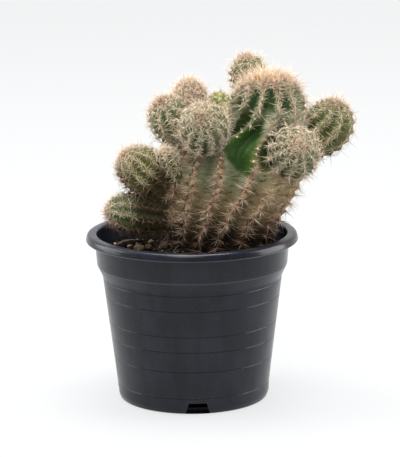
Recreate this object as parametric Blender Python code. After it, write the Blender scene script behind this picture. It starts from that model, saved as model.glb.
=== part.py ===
"""Potted lobivia: a clustering, ribbed and spiny cactus in a round black plastic nursery pot.

The pot stands on its foot with its axis on the world's Z axis, in metres. The stem leans towards +X
and stands in a plain hole in the soil, and ten offsets grow from its shoulders and its foot. Seen
from -Y, the front, the trunk is a fan of thirteen ribs that closes into a round crown.
"""

import itertools
import math
import random

import bmesh
import bpy
import numpy as np
from mathutils import Vector
from mathutils.bvhtree import BVHTree
from mathutils.kdtree import KDTree

# Driving dimensions of the pot, in metres
POT_HEIGHT = 0.0836
LIP_RADIUS = 0.0525
LIP_DROP = 0.0034
MOUTH_RADIUS = 0.0470
WALL = 0.0012
FLOOR = 0.0020
COLLAR_TOP_RADIUS = 0.0482
COLLAR_LOW_RADIUS = 0.0471
COLLAR_LOW = 0.0680
COLLAR_END = 0.0625
COLLAR_END_RADIUS = 0.0445
COLLAR_FILLET = (0.0456, 0.0649)
FOOT_LINE_RADIUS = 0.0373
WALL_SLOPE = 0.1155
FOOT_RADIUS = 0.0354
STEP_HEIGHTS = (0.0221, 0.0322, 0.0402, 0.0532, 0.0611)
STEP_DEPTH = 0.0002
STEP_EASE = 0.0002
HEEL_HEIGHT = 0.0035
HEEL_CHAMFER = (0.0008, 0.0006)
HEEL_SOLE = 0.0012
LIP_BOTTOM_EDGE = 0.0008
LIP_CURVE = ((0.0, 0.0028), (0.0001, 0.0016), (0.0010, 0.0006), (0.0024, 0.0))
MOUTH_EDGE = 0.0006
BODY_EXTRA_WALL = 0.0004
POT_SEGMENTS = 40
POT_SHARP = math.radians(40)

# Drainage notches round the foot
NOTCH_COUNT = 4
NOTCH_TURN = math.radians(-87)
NOTCH_LOW_WIDTH = 0.0100
NOTCH_TOP_WIDTH = 0.0068
NOTCH_HEIGHT = 0.0060
NOTCH_REACH = 0.0045
NOTCH_BELOW = 0.0010

# Fit of the pieces
GAP = 0.0003
NECK_GAP = 0.0004
SLIVER = 0.000002
SOIL_TOP = 0.0745
HOLE_ABOVE = 0.0040
ROOT_END = 0.0580

# The trunk: height, centre x, centre y, half width along x, half depth along y
TRUNK_STATIONS = (
    (ROOT_END, 0.0120, 0.0000, 0.0170, 0.0150),
    (SOIL_TOP, 0.0128, 0.0000, 0.0245, 0.0190),
    (0.0880, 0.0155, 0.0000, 0.0274, 0.0210),
    (0.1030, 0.0200, 0.0000, 0.0316, 0.0230),
    (0.1130, 0.0230, 0.0000, 0.0330, 0.0230),
    (0.1200, 0.0243, 0.0000, 0.0318, 0.0226),
    (0.1260, 0.0268, 0.0005, 0.0289, 0.0214),
    (0.1310, 0.0306, 0.0010, 0.0248, 0.0200),
    (0.1360, 0.0346, 0.0014, 0.0210, 0.0190),
    (0.1410, 0.0368, 0.0018, 0.0191, 0.0185),
    (0.1450, 0.0375, 0.0020, 0.0189, 0.0186),
)
CROWN_TOP = 0.1602
CROWN_LEAN = (0.0008, 0.0005)
TRUNK_RIBS = 13
TRUNK_RIB_DEPTH = 0.0034
CROWN_EXTRA_DEPTH = 0.0008
FULL_DEPTH_WIDTH = 0.0160
TRUNK_STRAIGHT = 0.74
TRUNK_AREOLES = 15
TRUNK_TURN_LOW = math.radians(-108)
TRUNK_TURN_HIGH = math.radians(-102)

# Near the soil the front ribs gather towards the left: by how much, round which angle, and where
GATHER_TURN = math.radians(17)
GATHER_MIDDLE = math.radians(-50)
GATHER_SPREAD = math.radians(55)
GATHER_HEIGHTS = (0.0800, 0.1260)

# Areoles: the ridge dips between them by this much, and they start at this row of the grid
AREOLE_DIP = 0.0006
HEAD_DIP = 0.00036
FIRST_AREOLE_ROW = 3
SAME_PLACE = 0.00001

# Spines: three-sided needles that rise from a small triangle fan round each areole
SPINE_FOOT = 0.0005
SPINE_CLEARANCE = 0.0006
SPINE_SPACING = 0.0011
OWN_SPACING = 0.0006
SPINE_STAND = 0.0005
SPINE_SAMPLES = 12
SPINE_TRIES = 8
STEM_SPINE_LENGTHS = (0.0036, 0.0062)
HEAD_SPINE_LENGTHS = (0.0030, 0.0046)
SPINE_TILTS = (18, 62)
SPINE_TURN = math.radians(35)
SECTOR_USE = 0.5
LEAST_RISE = 0.2
SPINE_TRIANGLES = 3
FAN_ROOM = 2.2
RIM_MARGIN = 0.0010
PLANT_SHARP = math.radians(35)

# An odd direction for counting where a ray leaves a body
RAY_DIRECTION = Vector((0.3137, 0.5519, 0.7727)).normalized()
RAY_STEP = 1e-6

# Grit and dry leaf on the soil: grains as x, y and radius
GRIT_PLACES = (
    (-0.0262, -0.0035, 0.0025),
    (-0.0215, 0.0010, 0.0019),
    (-0.0205, 0.0128, 0.0016),
    (-0.0272, 0.0052, 0.0013),
    (-0.0312, 0.0035, 0.0012),
)
GRIT_UNEVEN = 0.12
GRIT_DEPTH = 0.85
GRIT_HEIGHT = 0.72
GRIT_FLAT = 0.55
LEAF_START = (-0.0402, 0.0030)
LEAF_END = (-0.0240, 0.0188)
LEAF_WIDTH = 0.0026
LEAF_THICKNESS = 0.0007
LEAF_STEPS = 9
LEAF_SWEEP = 0.0012
LEAF_ARCH = 0.0012
LEAF_END_SHARE = 0.35


class Head:
    """One offset: where it grows from, where its apex is, and how it swells between them."""

    def __init__(self, name, base, apex, radius, widest, neck, ribs, areoles, bend=(0, 0, 0)):
        self.name = name
        self.base = np.array(base)
        self.apex = np.array(apex)
        self.radius = radius
        self.widest = widest
        self.neck = neck
        self.ribs = ribs
        self.areoles = areoles
        self.bend = np.array(bend)


# Lengths in metres; widest is a share of the head's length, neck a share of its radius
HEADS = (
    Head("offset_front_left", (0.0090, -0.0050, 0.1275), (0.0054, -0.0306, 0.1460),
         0.0114, 0.67, 0.45, 12, 6, (-0.0003, 0.0025, -0.0006)),
    Head("offset_front_right", (0.0450, -0.0060, 0.1190), (0.0514, -0.0323, 0.1326),
         0.0120, 0.65, 0.46, 12, 6, (0.0014, 0.0027, -0.0024)),
    Head("offset_left", (0.0020, 0.0030, 0.1230), (-0.0150, 0.0023, 0.1485),
         0.0106, 0.68, 0.60, 11, 6, (-0.0009, 0.0056, -0.0012)),
    Head("offset_right", (0.0540, 0.0050, 0.1225), (0.0712, 0.0037, 0.1469),
         0.0124, 0.65, 0.36, 10, 6, (0.0058, 0.0060, -0.0061)),
    Head("offset_low_left", (-0.0030, -0.0010, 0.1035), (-0.0328, -0.0080, 0.1246),
         0.0113, 0.68, 0.62, 12, 6, (-0.0033, 0.0012, -0.0040)),
    Head("offset_rim_left", (-0.0030, -0.0032, 0.0915), (-0.0417, -0.0085, 0.0965),
         0.0098, 0.67, 0.58, 10, 6, (-0.0018, 0.0010, -0.0001)),
    Head("offset_top_rear", (0.0320, 0.0120, 0.1380), (0.0269, 0.0211, 0.1673),
         0.0091, 0.69, 0.65, 11, 6, (0.0011, 0.0060, 0.0006)),
    Head("offset_left_rear", (0.0090, 0.0090, 0.1280), (-0.0020, 0.0150, 0.1561),
         0.0072, 0.70, 0.62, 10, 5, (-0.0036, 0.0030, 0.0025)),
    Head("offset_low_left_small", (-0.0030, -0.0035, 0.1085), (-0.0132, -0.0085, 0.1262),
         0.0056, 0.70, 0.70, 9, 5, (-0.0030, -0.0015, -0.0010)),
    Head("offset_rear_small", (0.0230, 0.0100, 0.1360), (0.0105, 0.0149, 0.1487),
         0.0054, 0.70, 0.75, 8, 4, (0.0003, 0.0042, 0.0010)),
)
HEAD_RIB_DEPTH = 0.13

# Colours as linear RGB, with roughness
BLACK_PLASTIC = ((0.016, 0.017, 0.019), 0.42)
DARK_SOIL = ((0.020, 0.013, 0.009), 0.95)
TAN_STEM = ((0.150, 0.125, 0.062), 0.70)
GREEN_HEAD = ((0.130, 0.170, 0.085), 0.65)
PALE_GRIT = ((0.520, 0.440, 0.320), 0.85)
DRY_LEAF = ((0.050, 0.045, 0.040), 0.80)


def clear_scene():
    for item in list(bpy.data.objects):
        bpy.data.objects.remove(item, do_unlink=True)


def make_material(name, look):
    colour, roughness = look
    material = bpy.data.materials.new(name)
    material.use_nodes = True
    shader = material.node_tree.nodes["Principled BSDF"]
    shader.inputs["Base Color"].default_value = (*colour, 1.0)
    shader.inputs["Roughness"].default_value = roughness
    shader.inputs["Metallic"].default_value = 0.0
    return material


def add_object(name, mesh, material=None):
    item = bpy.data.objects.new(name, mesh)
    bpy.context.scene.collection.objects.link(item)
    if material is not None:
        mesh.materials.clear()
        mesh.materials.append(material)
    return item


def mesh_from_bmesh(name, bm):
    mesh = bpy.data.meshes.new(name)
    bm.to_mesh(mesh)
    bm.free()
    return mesh


def apply_modifiers(item):
    """Replace the object's mesh by its evaluated one and drop the modifiers."""
    graph = bpy.context.evaluated_depsgraph_get()
    mesh = bpy.data.meshes.new_from_object(item.evaluated_get(graph))
    item.modifiers.clear()
    item.data = mesh


def cut(item, cutter):
    """Take the cutter's shape out of the object, then remove the cutter."""
    modifier = item.modifiers.new("Cut", "BOOLEAN")
    modifier.operation = "DIFFERENCE"
    modifier.solver = "EXACT"
    modifier.object = cutter
    apply_modifiers(item)
    bpy.data.objects.remove(cutter, do_unlink=True)
    bm = bmesh.new()
    bm.from_mesh(item.data)
    bmesh.ops.remove_doubles(bm, verts=bm.verts, dist=SLIVER)
    bmesh.ops.dissolve_degenerate(bm, edges=bm.edges, dist=SLIVER)
    bm.to_mesh(item.data)
    bm.free()


def keep_largest_body(item):
    """Drop the loose scraps that a cut leaves, and keep the body with the most faces."""
    bm = bmesh.new()
    bm.from_mesh(item.data)
    unseen = set(bm.verts)
    bodies = []
    while unseen:
        stack = [unseen.pop()]
        body = set(stack)
        while stack:
            for edge in stack.pop().link_edges:
                for vert in edge.verts:
                    if vert in unseen:
                        unseen.remove(vert)
                        body.add(vert)
                        stack.append(vert)
        bodies.append(body)
    largest = max(bodies, key=len)
    scraps = [vert for vert in bm.verts if vert not in largest]
    bmesh.ops.delete(bm, geom=scraps, context="VERTS")
    bm.to_mesh(item.data)
    bm.free()


def lathe(name, profile, segments):
    """Turn an open (radius, height) profile, whose ends lie on the axis, into a closed body."""
    bm = bmesh.new()
    verts = [bm.verts.new((radius, 0.0, height)) for radius, height in profile]
    edges = [bm.edges.new(pair) for pair in zip(verts, verts[1:])]
    bmesh.ops.spin(bm, geom=verts + edges, cent=(0, 0, 0), axis=(0, 0, 1),
                   angle=2 * math.pi, steps=segments, use_merge=True, use_duplicate=False)
    bmesh.ops.remove_doubles(bm, verts=bm.verts, dist=SLIVER)
    bmesh.ops.recalc_face_normals(bm, faces=bm.faces)
    return mesh_from_bmesh(name, bm)


def body_radius(height, steps_above):
    """Outer radius of the pot's tapered body, which each fine step above makes a little less."""
    even = len(STEP_HEIGHTS) / 2
    return FOOT_LINE_RADIUS + WALL_SLOPE * height - STEP_DEPTH * (steps_above - even)


def pot_profile():
    """From the foot's centre up the outside, over the lip and down the inside to the floor."""
    lip_bottom = POT_HEIGHT - LIP_DROP
    count = len(STEP_HEIGHTS)
    outer = [(0.0, 0.0), (FOOT_RADIUS - HEEL_SOLE, 0.0)]
    outer.append((FOOT_RADIUS + HEEL_CHAMFER[0], HEEL_CHAMFER[1]))
    outer.append((body_radius(HEEL_HEIGHT, count), HEEL_HEIGHT))
    for number, step in enumerate(STEP_HEIGHTS):
        outer.append((body_radius(step, count - number), step - STEP_EASE))
        outer.append((body_radius(step, count - number - 1), step + STEP_EASE))
    outer += [
        (COLLAR_END_RADIUS, COLLAR_END),
        COLLAR_FILLET,
        (COLLAR_LOW_RADIUS, COLLAR_LOW),
        (COLLAR_TOP_RADIUS, lip_bottom),
        (LIP_RADIUS - LIP_BOTTOM_EDGE, lip_bottom),
    ]
    outer += [(LIP_RADIUS - inward, POT_HEIGHT - below) for inward, below in LIP_CURVE]
    inner = [
        (MOUTH_RADIUS + MOUTH_EDGE, POT_HEIGHT),
        (MOUTH_RADIUS, POT_HEIGHT - MOUTH_EDGE),
        (inner_radius(COLLAR_LOW), COLLAR_LOW),
        (inner_radius(COLLAR_END), COLLAR_END),
        (inner_radius(FLOOR), FLOOR),
        (0.0, FLOOR),
    ]
    return outer + inner


def inner_radius(height):
    """Inner radius of the pot's wall: the outer line less the wall."""
    if height >= COLLAR_LOW:
        share = (height - COLLAR_LOW) / (POT_HEIGHT - COLLAR_LOW)
        low = COLLAR_LOW_RADIUS - WALL
        return low + (MOUTH_RADIUS - low) * share
    if height >= COLLAR_END:
        share = (height - COLLAR_END) / (COLLAR_LOW - COLLAR_END)
        low = COLLAR_END_RADIUS - WALL
        return low + (COLLAR_LOW_RADIUS - WALL - low) * share
    taper = FOOT_LINE_RADIUS + WALL_SLOPE * height - BODY_EXTRA_WALL
    return min(taper, COLLAR_END_RADIUS) - WALL


def notch_cutter():
    """A wedge with slanting sides, narrow at the top, that reaches through the wall's foot."""
    bm = bmesh.new()
    inside = FOOT_RADIUS - NOTCH_REACH
    outside = FOOT_RADIUS + NOTCH_REACH
    corners = []
    for radius in (inside, outside):
        for height, width in ((-NOTCH_BELOW, NOTCH_LOW_WIDTH), (NOTCH_HEIGHT, NOTCH_TOP_WIDTH)):
            for side in (-0.5, 0.5):
                corners.append(bm.verts.new((radius, side * width, height)))
    bmesh.ops.convex_hull(bm, input=corners)
    bmesh.ops.recalc_face_normals(bm, faces=bm.faces)
    return mesh_from_bmesh("notch_cutter", bm)


def make_pot():
    pot = add_object("pot", lathe("pot", pot_profile(), POT_SEGMENTS),
                     make_material("black_plastic", BLACK_PLASTIC))
    cutter_mesh = notch_cutter()
    for number in range(NOTCH_COUNT):
        cutter = add_object("notch_cutter", cutter_mesh)
        cutter.rotation_euler[2] = NOTCH_TURN + number * 2 * math.pi / NOTCH_COUNT
        bpy.context.view_layer.update()
        cut(pot, cutter)
    pot.data.shade_smooth()
    pot.data.set_sharp_from_angle(angle=POT_SHARP)


def hermite(at, knots, values):
    """A smooth curve through (knots, values): cubic Hermite with central slopes."""
    slopes = np.gradient(values, knots)
    index = np.clip(np.searchsorted(knots, at) - 1, 0, len(knots) - 2)
    step = knots[index + 1] - knots[index]
    u = (at - knots[index]) / step
    return ((1 + 2 * u) * (1 - u) ** 2 * values[index] + u * (1 - u) ** 2 * step * slopes[index]
            + u * u * (3 - 2 * u) * values[index + 1] + u * u * (u - 1) * step * slopes[index + 1])


def trunk_rows():
    """Row heights: the root's end, then a row at each areole and one between two areoles."""
    count = 2 * TRUNK_AREOLES
    turn = np.linspace(0.0, 1.0, count + 1)
    shoulder = TRUNK_STATIONS[-1][0]
    low = SOIL_TOP + (shoulder - SOIL_TOP) * turn / TRUNK_STRAIGHT
    angle = (turn - TRUNK_STRAIGHT) / (1 - TRUNK_STRAIGHT) * math.pi / 2
    high = shoulder + (CROWN_TOP - shoulder) * np.sin(angle)
    heights = np.where(turn <= TRUNK_STRAIGHT, low, high)
    return np.concatenate([[ROOT_END], heights])


def trunk_section(heights, grow=0.0):
    """Centre and half widths of the trunk's horizontal section at each height."""
    stations = np.array(TRUNK_STATIONS)
    top = stations[-1, 0]
    upright = np.minimum(heights, top)
    centre_x, centre_y, half_x, half_y = (
        hermite(upright, stations[:, 0], stations[:, k]) for k in (1, 2, 3, 4))
    rise = np.clip((heights - top) / (CROWN_TOP - top), 0.0, 1.0)
    cap = np.sqrt(np.maximum(0.0, 1.0 - rise ** 2))
    cap[-1] = 0.0
    centre_x = centre_x + CROWN_LEAN[0] * rise
    centre_y = centre_y + CROWN_LEAN[1] * rise
    return centre_x, centre_y, (half_x + grow) * cap, (half_y + grow) * cap


def trunk_grid(grow=0.0):
    """Points of the trunk, rows up and columns round: each rib has a ridge and a valley column.

    The section is an ellipse whose radius drops by the rib depth in the valleys, and the ridges
    dip a little between two areoles. Near the soil the front ribs are turned towards the left, most
    at the gather's middle angle. The last row is the apex, a single point repeated.
    """
    heights = trunk_rows()
    centre_x, centre_y, half_x, half_y = trunk_section(heights, grow)
    column = np.arange(2 * TRUNK_RIBS)
    round_angle = column * math.pi / TRUNK_RIBS
    climb = np.clip((heights - SOIL_TOP) / (TRUNK_STATIONS[-1][0] - SOIL_TOP), 0.0, 1.0)
    turn = TRUNK_TURN_LOW + (TRUNK_TURN_HIGH - TRUNK_TURN_LOW) * climb
    angle = turn[:, None] + round_angle[None, :]
    fade = np.clip((heights - GATHER_HEIGHTS[0]) / (GATHER_HEIGHTS[1] - GATHER_HEIGHTS[0]), 0, 1)
    facing = np.mod(angle - GATHER_MIDDLE + math.pi, 2 * math.pi) - math.pi
    gather = (1 - fade * fade * (3 - 2 * fade))[:, None] * np.exp(-(facing / GATHER_SPREAD) ** 2)
    angle = angle - GATHER_TURN * gather
    valley = (column % 2)[None, :]
    full_depth = TRUNK_RIB_DEPTH + CROWN_EXTRA_DEPTH * climb
    depth = (full_depth * np.minimum(1.0, half_x / FULL_DEPTH_WIDTH))[:, None]
    row = np.arange(len(heights))
    between = ((row % 2 == 0) & (row > 1))[:, None]
    inset = depth * valley + AREOLE_DIP * between * (1 - valley)
    shrink = np.minimum(inset, half_x[:, None])
    x = centre_x[:, None] + (half_x[:, None] - shrink) * np.cos(angle)
    y = centre_y[:, None] + np.maximum(half_y[:, None] - shrink, 0.0) * np.sin(angle)
    z = np.broadcast_to((heights + np.where(heights > SOIL_TOP, grow, 0.0))[:, None], x.shape)
    if grow > 0.0:
        z = np.where(row[:, None] == 0, z - grow, z)
    return np.stack([x, y, z], axis=-1)


def head_rows(head):
    """Share of the length of each row: even up to the widest place, then even in angle."""
    count = 2 * head.areoles
    half = count // 2
    low = np.linspace(0.0, head.widest, half, endpoint=False)
    high = head.widest + (1 - head.widest) * np.sin(np.linspace(0, math.pi / 2, count - half + 1))
    return np.concatenate([low, high])


def head_radius(head, share):
    """Radius at a share of the length: a sine swell from the neck, then a quarter ellipse."""
    swell = head.neck + (1 - head.neck) * np.sin(math.pi / 2 * np.minimum(share / head.widest, 1))
    cap = np.sqrt(np.maximum(0.0, 1 - ((share - head.widest) / (1 - head.widest)) ** 2))
    return head.radius * np.where(share < head.widest, swell, cap)


def head_frame(head, share):
    """Axis point, axis direction and two cross directions at each share of the length."""
    middle = (head.base + head.apex) / 2 + head.bend
    t = share[:, None]
    axis = (1 - t) ** 2 * head.base + 2 * t * (1 - t) * middle + t ** 2 * head.apex
    along = 2 * (1 - t) * (middle - head.base) + 2 * t * (head.apex - middle)
    along = along / np.linalg.norm(along, axis=1)[:, None]
    reference = np.eye(3)[np.argmin(np.abs(head.apex - head.base))]
    across = reference - along * (along @ reference)[:, None]
    across = across / np.linalg.norm(across, axis=1)[:, None]
    return axis, along, across, np.cross(along, across)


def head_grid(head, grow=0.0):
    """Points of an offset, rows from its neck to its apex and columns round its ribs."""
    share = head_rows(head)
    axis, along, across, beside = head_frame(head, share)
    radius = head_radius(head, share) + grow
    radius[-1] = 0.0
    axis = axis + along * grow * np.linspace(-1.0, 1.0, len(share))[:, None]
    column = np.arange(2 * head.ribs)
    angle = column * math.pi / head.ribs
    valley = (column % 2)[None, :]
    row = np.arange(len(share))
    between = ((row % 2 == 0) & (row > 0))[:, None]
    inset = HEAD_RIB_DEPTH * radius[:, None] * valley
    inset = inset + HEAD_DIP * between * (1 - valley) * (radius > 0)[:, None]
    reach = radius[:, None] - inset
    ring = (np.cos(angle)[None, :, None] * across[:, None, :]
            + np.sin(angle)[None, :, None] * beside[:, None, :])
    return axis[:, None, :] + reach[..., None] * ring


def grid_mesh(name, grid):
    """Close a grid of rings into a body: a fan over the first row and a point at the last."""
    columns = grid.shape[1]
    bm = bmesh.new()
    rings = [[bm.verts.new(point) for point in ring] for ring in grid[:-1]]
    foot = bm.verts.new(grid[0].mean(axis=0))
    tip = bm.verts.new(grid[-1].mean(axis=0))
    for low, high in zip(rings, rings[1:]):
        for k in range(columns):
            n = (k + 1) % columns
            bm.faces.new((low[k], low[n], high[n]))
            bm.faces.new((low[k], high[n], high[k]))
    for k in range(columns):
        n = (k + 1) % columns
        bm.faces.new((rings[0][n], rings[0][k], foot))
        bm.faces.new((rings[-1][k], rings[-1][n], tip))
    bmesh.ops.recalc_face_normals(bm, faces=bm.faces)
    return mesh_from_bmesh(name, bm)


def areoles(grid):
    """Place and outward direction of each areole on the ridges of a grid."""
    found = []
    rows, columns = grid.shape[:2]
    for row in range(FIRST_AREOLE_ROW, rows - 1, 2):
        for column in range(0, columns, 2):
            point = grid[row, column]
            up = grid[row + 1, column] - grid[row - 1, column]
            side = grid[row, (column + 1) % columns] - grid[row, column - 1]
            out = Vector(np.cross(side, up)).normalized()
            if out.dot(Vector(point - grid[row].mean(axis=0))) < 0:
                out = -out
            found.append((Vector(point), out))
    return found


def tree_of(item):
    bm = bmesh.new()
    bm.from_mesh(item.data)
    tree = BVHTree.FromBMesh(bm)
    bm.free()
    return tree


def is_inside(tree, point):
    """True where a ray from the point leaves the closed body an odd number of times."""
    place = Vector(point)
    crossings = 0
    while True:
        hit, _, _, _ = tree.ray_cast(place, RAY_DIRECTION)
        if hit is None:
            return crossings % 2 == 1
        crossings += 1
        place = hit + RAY_DIRECTION * RAY_STEP


def is_near(tree, point, distance):
    return tree.find_nearest(point, distance)[0] is not None


def cross_directions(out):
    across = out.orthogonal().normalized()
    return across, out.cross(across)


def turns_round(vert, others, out):
    """The angle at which each other vertex lies round the outward direction of a vertex."""
    across, beside = cross_directions(out)
    sides = [other.co - vert.co for other in others]
    return [math.atan2(side.dot(beside), side.dot(across)) for side in sides]


class SpinePlanner:
    """Chooses spines that clear every piece and every other spine."""

    def __init__(self, trees, seed):
        self.trees = trees
        self.random = random.Random(seed)
        self.taken = {name: [] for name in trees}

    def clear(self, name, root, tip):
        steps = np.linspace(0.0, 1.0, SPINE_SAMPLES)[:, None]
        root = np.array(root)
        points = root + (np.array(tip) - root) * steps
        lowest = points[:, 2].min()
        if lowest < SOIL_TOP + SPINE_CLEARANCE:
            return False
        if lowest < POT_HEIGHT + SPINE_CLEARANCE:
            if np.hypot(points[:, 0], points[:, 1]).max() > MOUTH_RADIUS - RIM_MARGIN:
                return False
        for other, tree in self.trees.items():
            if other == name:
                free = points[SPINE_SAMPLES // 3:]
                if any(is_near(tree, point, SPINE_STAND) for point in free):
                    return False
                if is_inside(tree, points[-1]):
                    return False
            elif any(is_near(tree, point, SPINE_CLEARANCE) for point in points):
                return False
        for other, lines in self.taken.items():
            if lines:
                spacing = OWN_SPACING if other == name else SPINE_SPACING
                apart = points[1:, None] - np.concatenate(lines)[None]
                if (apart ** 2).sum(axis=2).min() < spacing ** 2:
                    return False
        return True

    def tips(self, name, out, triangles, lengths):
        """A tip for each triangle of an areole's fan that a clear spine can rise from.

        A spine leans into its own triangle's sector of the turn round the areole, and stands well
        out of that triangle's plane.
        """
        tips = []
        lines = []
        for corners in triangles:
            root = sum((corner.co for corner in corners), Vector()) / len(corners)
            start, end = turns_round(corners[0], corners[1:], out)
            half = ((end - start) % (2 * math.pi)) / 2
            reach = min(SPINE_TURN, SECTOR_USE * half)
            across, beside = cross_directions(out)
            one, two = (corner.co - corners[0].co for corner in corners[1:])
            face_out = one.cross(two).normalized()
            tip = None
            for _ in range(SPINE_TRIES):
                tilt = math.radians(self.random.uniform(*SPINE_TILTS))
                turn = start + half + self.random.uniform(-reach, reach)
                sideways = across * math.cos(turn) + beside * math.sin(turn)
                aim = out * math.cos(tilt) + sideways * math.sin(tilt)
                trial = root + aim * self.random.uniform(*lengths)
                if aim.dot(face_out) > LEAST_RISE and self.clear(name, root, trial):
                    tip = trial
                    steps = np.linspace(0.0, 1.0, SPINE_SAMPLES)[1:, None]
                    lines.append(np.array(root) + np.array(trial - root) * steps)
                    break
            tips.append(tip)
        self.taken[name] += lines
        return tips


def ordered_neighbours(vert):
    """Vertices round a vertex of a closed triangle mesh, in order."""
    following = {}
    for loop in vert.link_loops:
        following[loop.link_loop_next.vert] = loop.link_loop_prev.vert
    first = next(iter(following))
    ring = [first]
    while following[ring[-1]] is not first:
        ring.append(following[ring[-1]])
    return ring


def even_picks(vert, ring, out):
    """Indices of the three neighbours that divide the turn round the vertex most evenly."""
    turns = turns_round(vert, ring, out)

    def smallest_sector(picks):
        marks = sorted(turns[pick] for pick in picks)
        return min([high - low for low, high in zip(marks, marks[1:])]
                   + [marks[0] + 2 * math.pi - marks[-1]])

    return list(max(itertools.combinations(range(len(ring)), SPINE_TRIANGLES),
                    key=smallest_sector))


def raise_spines(bm, vert, out, planner, name, lengths):
    """Give one areole its spines.

    Three edges of the vertex get a point near it, which makes a small fan of three triangles, and
    each triangle of the fan is drawn out to a tip: a three-sided needle.
    """
    ring = ordered_neighbours(vert)
    nearest = min((other.co - vert.co).length for other in ring)
    if len(ring) < SPINE_TRIANGLES + 2 or nearest < FAN_ROOM * SPINE_FOOT:
        return
    if vert.normal.dot(out) > 0:
        out = vert.normal.copy()
    picks = even_picks(vert, ring, out)
    picks.append(picks[0] + len(ring))
    feet = [bm.verts.new(vert.co + (ring[pick % len(ring)].co - vert.co).normalized() * SPINE_FOOT)
            for pick in picks[:-1]]
    feet.append(feet[0])
    bmesh.ops.delete(bm, geom=list(vert.link_faces), context="FACES_ONLY")
    for edge in [edge for edge in vert.link_edges if not edge.link_faces]:
        bm.edges.remove(edge)
    fan = []
    for k in range(SPINE_TRIANGLES):
        low, high = picks[k], picks[k + 1]
        outer = [ring[n % len(ring)] for n in range(low, high + 1)]
        for one, two in zip(outer[:-2], outer[1:-1]):
            bm.faces.new((feet[k], one, two))
        bm.faces.new((feet[k], outer[-2], feet[k + 1]))
        bm.faces.new((feet[k + 1], outer[-2], outer[-1]))
        fan.append((vert, feet[k], feet[k + 1]))
    for corners, tip in zip(fan, planner.tips(name, out, fan, lengths)):
        if tip is None:
            bm.faces.new(corners)
            continue
        end = bm.verts.new(tip)
        for k in range(3):
            bm.faces.new((corners[k], corners[(k + 1) % 3], end))


def drop_flaps(bm):
    """Drop faces that lie back to back on the same corners."""
    same = {}
    for face in bm.faces:
        same.setdefault(frozenset(face.verts), []).append(face)
    flaps = [face for faces in same.values() if len(faces) > 1 for face in faces]
    bmesh.ops.delete(bm, geom=flaps, context="FACES")


def grow_spines(item, places, planner, lengths):
    """Raise spines at each areole that is still a vertex of the body after its cuts."""
    bm = bmesh.new()
    bm.from_mesh(item.data)
    bmesh.ops.triangulate(bm, faces=bm.faces)
    drop_flaps(bm)
    bm.normal_update()
    verts = list(bm.verts)
    finder = KDTree(len(verts))
    for number, vert in enumerate(verts):
        finder.insert(vert.co, number)
    finder.balance()
    for point, out in places:
        _, number, distance = finder.find(point)
        if distance < SAME_PLACE:
            raise_spines(bm, verts[number], out, planner, item.name, lengths)
    bmesh.ops.recalc_face_normals(bm, faces=bm.faces)
    bm.to_mesh(item.data)
    bm.free()


def make_plant():
    """The trunk and its offsets: bodies first, each cut clear of those before it, then spines."""
    bodies = {}
    grids = {"main_stem": trunk_grid()}
    cutters = [grid_mesh("trunk_cutter", trunk_grid(NECK_GAP))]
    stem_material = make_material("ribbed_stem", TAN_STEM)
    head_material = make_material("ribbed_head", GREEN_HEAD)
    bodies["main_stem"] = add_object("main_stem", grid_mesh("main_stem", grids["main_stem"]),
                                     stem_material)
    for head in HEADS:
        grids[head.name] = head_grid(head)
        item = add_object(head.name, grid_mesh(head.name, grids[head.name]), head_material)
        for cutter_mesh in cutters:
            cutter = add_object("cutter", cutter_mesh)
            if tree_of(item).overlap(tree_of(cutter)):
                cut(item, cutter)
            else:
                bpy.data.objects.remove(cutter, do_unlink=True)
        keep_largest_body(item)
        cutters.append(grid_mesh(head.name + "_cutter", head_grid(head, NECK_GAP)))
        bodies[head.name] = item
    planner = SpinePlanner({name: tree_of(item) for name, item in bodies.items()}, seed=7)
    for name, item in bodies.items():
        lengths = STEM_SPINE_LENGTHS if name == "main_stem" else HEAD_SPINE_LENGTHS
        grow_spines(item, areoles(grids[name]), planner, lengths)
        item.data.shade_smooth()
        item.data.set_sharp_from_angle(angle=PLANT_SHARP)


def make_soil():
    """The filling, with a plain hole for the stem that widens upwards as the root does."""
    profile = [(0.0, FLOOR + GAP), (inner_radius(FLOOR) - GAP, FLOOR + GAP),
               (inner_radius(COLLAR_END) - GAP, COLLAR_END),
               (inner_radius(COLLAR_LOW) - GAP, COLLAR_LOW),
               (inner_radius(SOIL_TOP) - GAP, SOIL_TOP), (0.0, SOIL_TOP)]
    soil = add_object("soil", lathe("soil", profile, POT_SEGMENTS),
                      make_material("dark_soil", DARK_SOIL))
    low, high = trunk_grid(NECK_GAP)[:2, ::2]
    slope = (high - low) / (high[:, 2] - low[:, 2])[:, None]
    high = high + slope * HOLE_ABOVE
    bm = bmesh.new()
    corners = [bm.verts.new(point) for point in np.concatenate([low, high])]
    bmesh.ops.convex_hull(bm, input=corners)
    bmesh.ops.recalc_face_normals(bm, faces=bm.faces)
    cutter = add_object("stem_hole", mesh_from_bmesh("stem_hole", bm))
    cut(soil, cutter)


def make_grit():
    """Rounded grains, each a little flattened and uneven, lying on the soil."""
    material = make_material("pale_grit", PALE_GRIT)
    draw = random.Random(3)
    for number, (x, y, size) in enumerate(GRIT_PLACES):
        bm = bmesh.new()
        bmesh.ops.create_icosphere(bm, subdivisions=2, radius=size)
        for vert in bm.verts:
            vert.co *= 1 + draw.uniform(-GRIT_UNEVEN, GRIT_UNEVEN)
            vert.co.z = max(vert.co.z * GRIT_HEIGHT, -GRIT_FLAT * size)
            vert.co.y *= GRIT_DEPTH
        lowest = min(vert.co.z for vert in bm.verts)
        bmesh.ops.translate(bm, verts=bm.verts, vec=(x, y, SOIL_TOP + GAP - lowest))
        name = "grit_%d" % (number + 1)
        grain = add_object(name, mesh_from_bmesh(name, bm), material)
        grain.data.shade_smooth()


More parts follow.
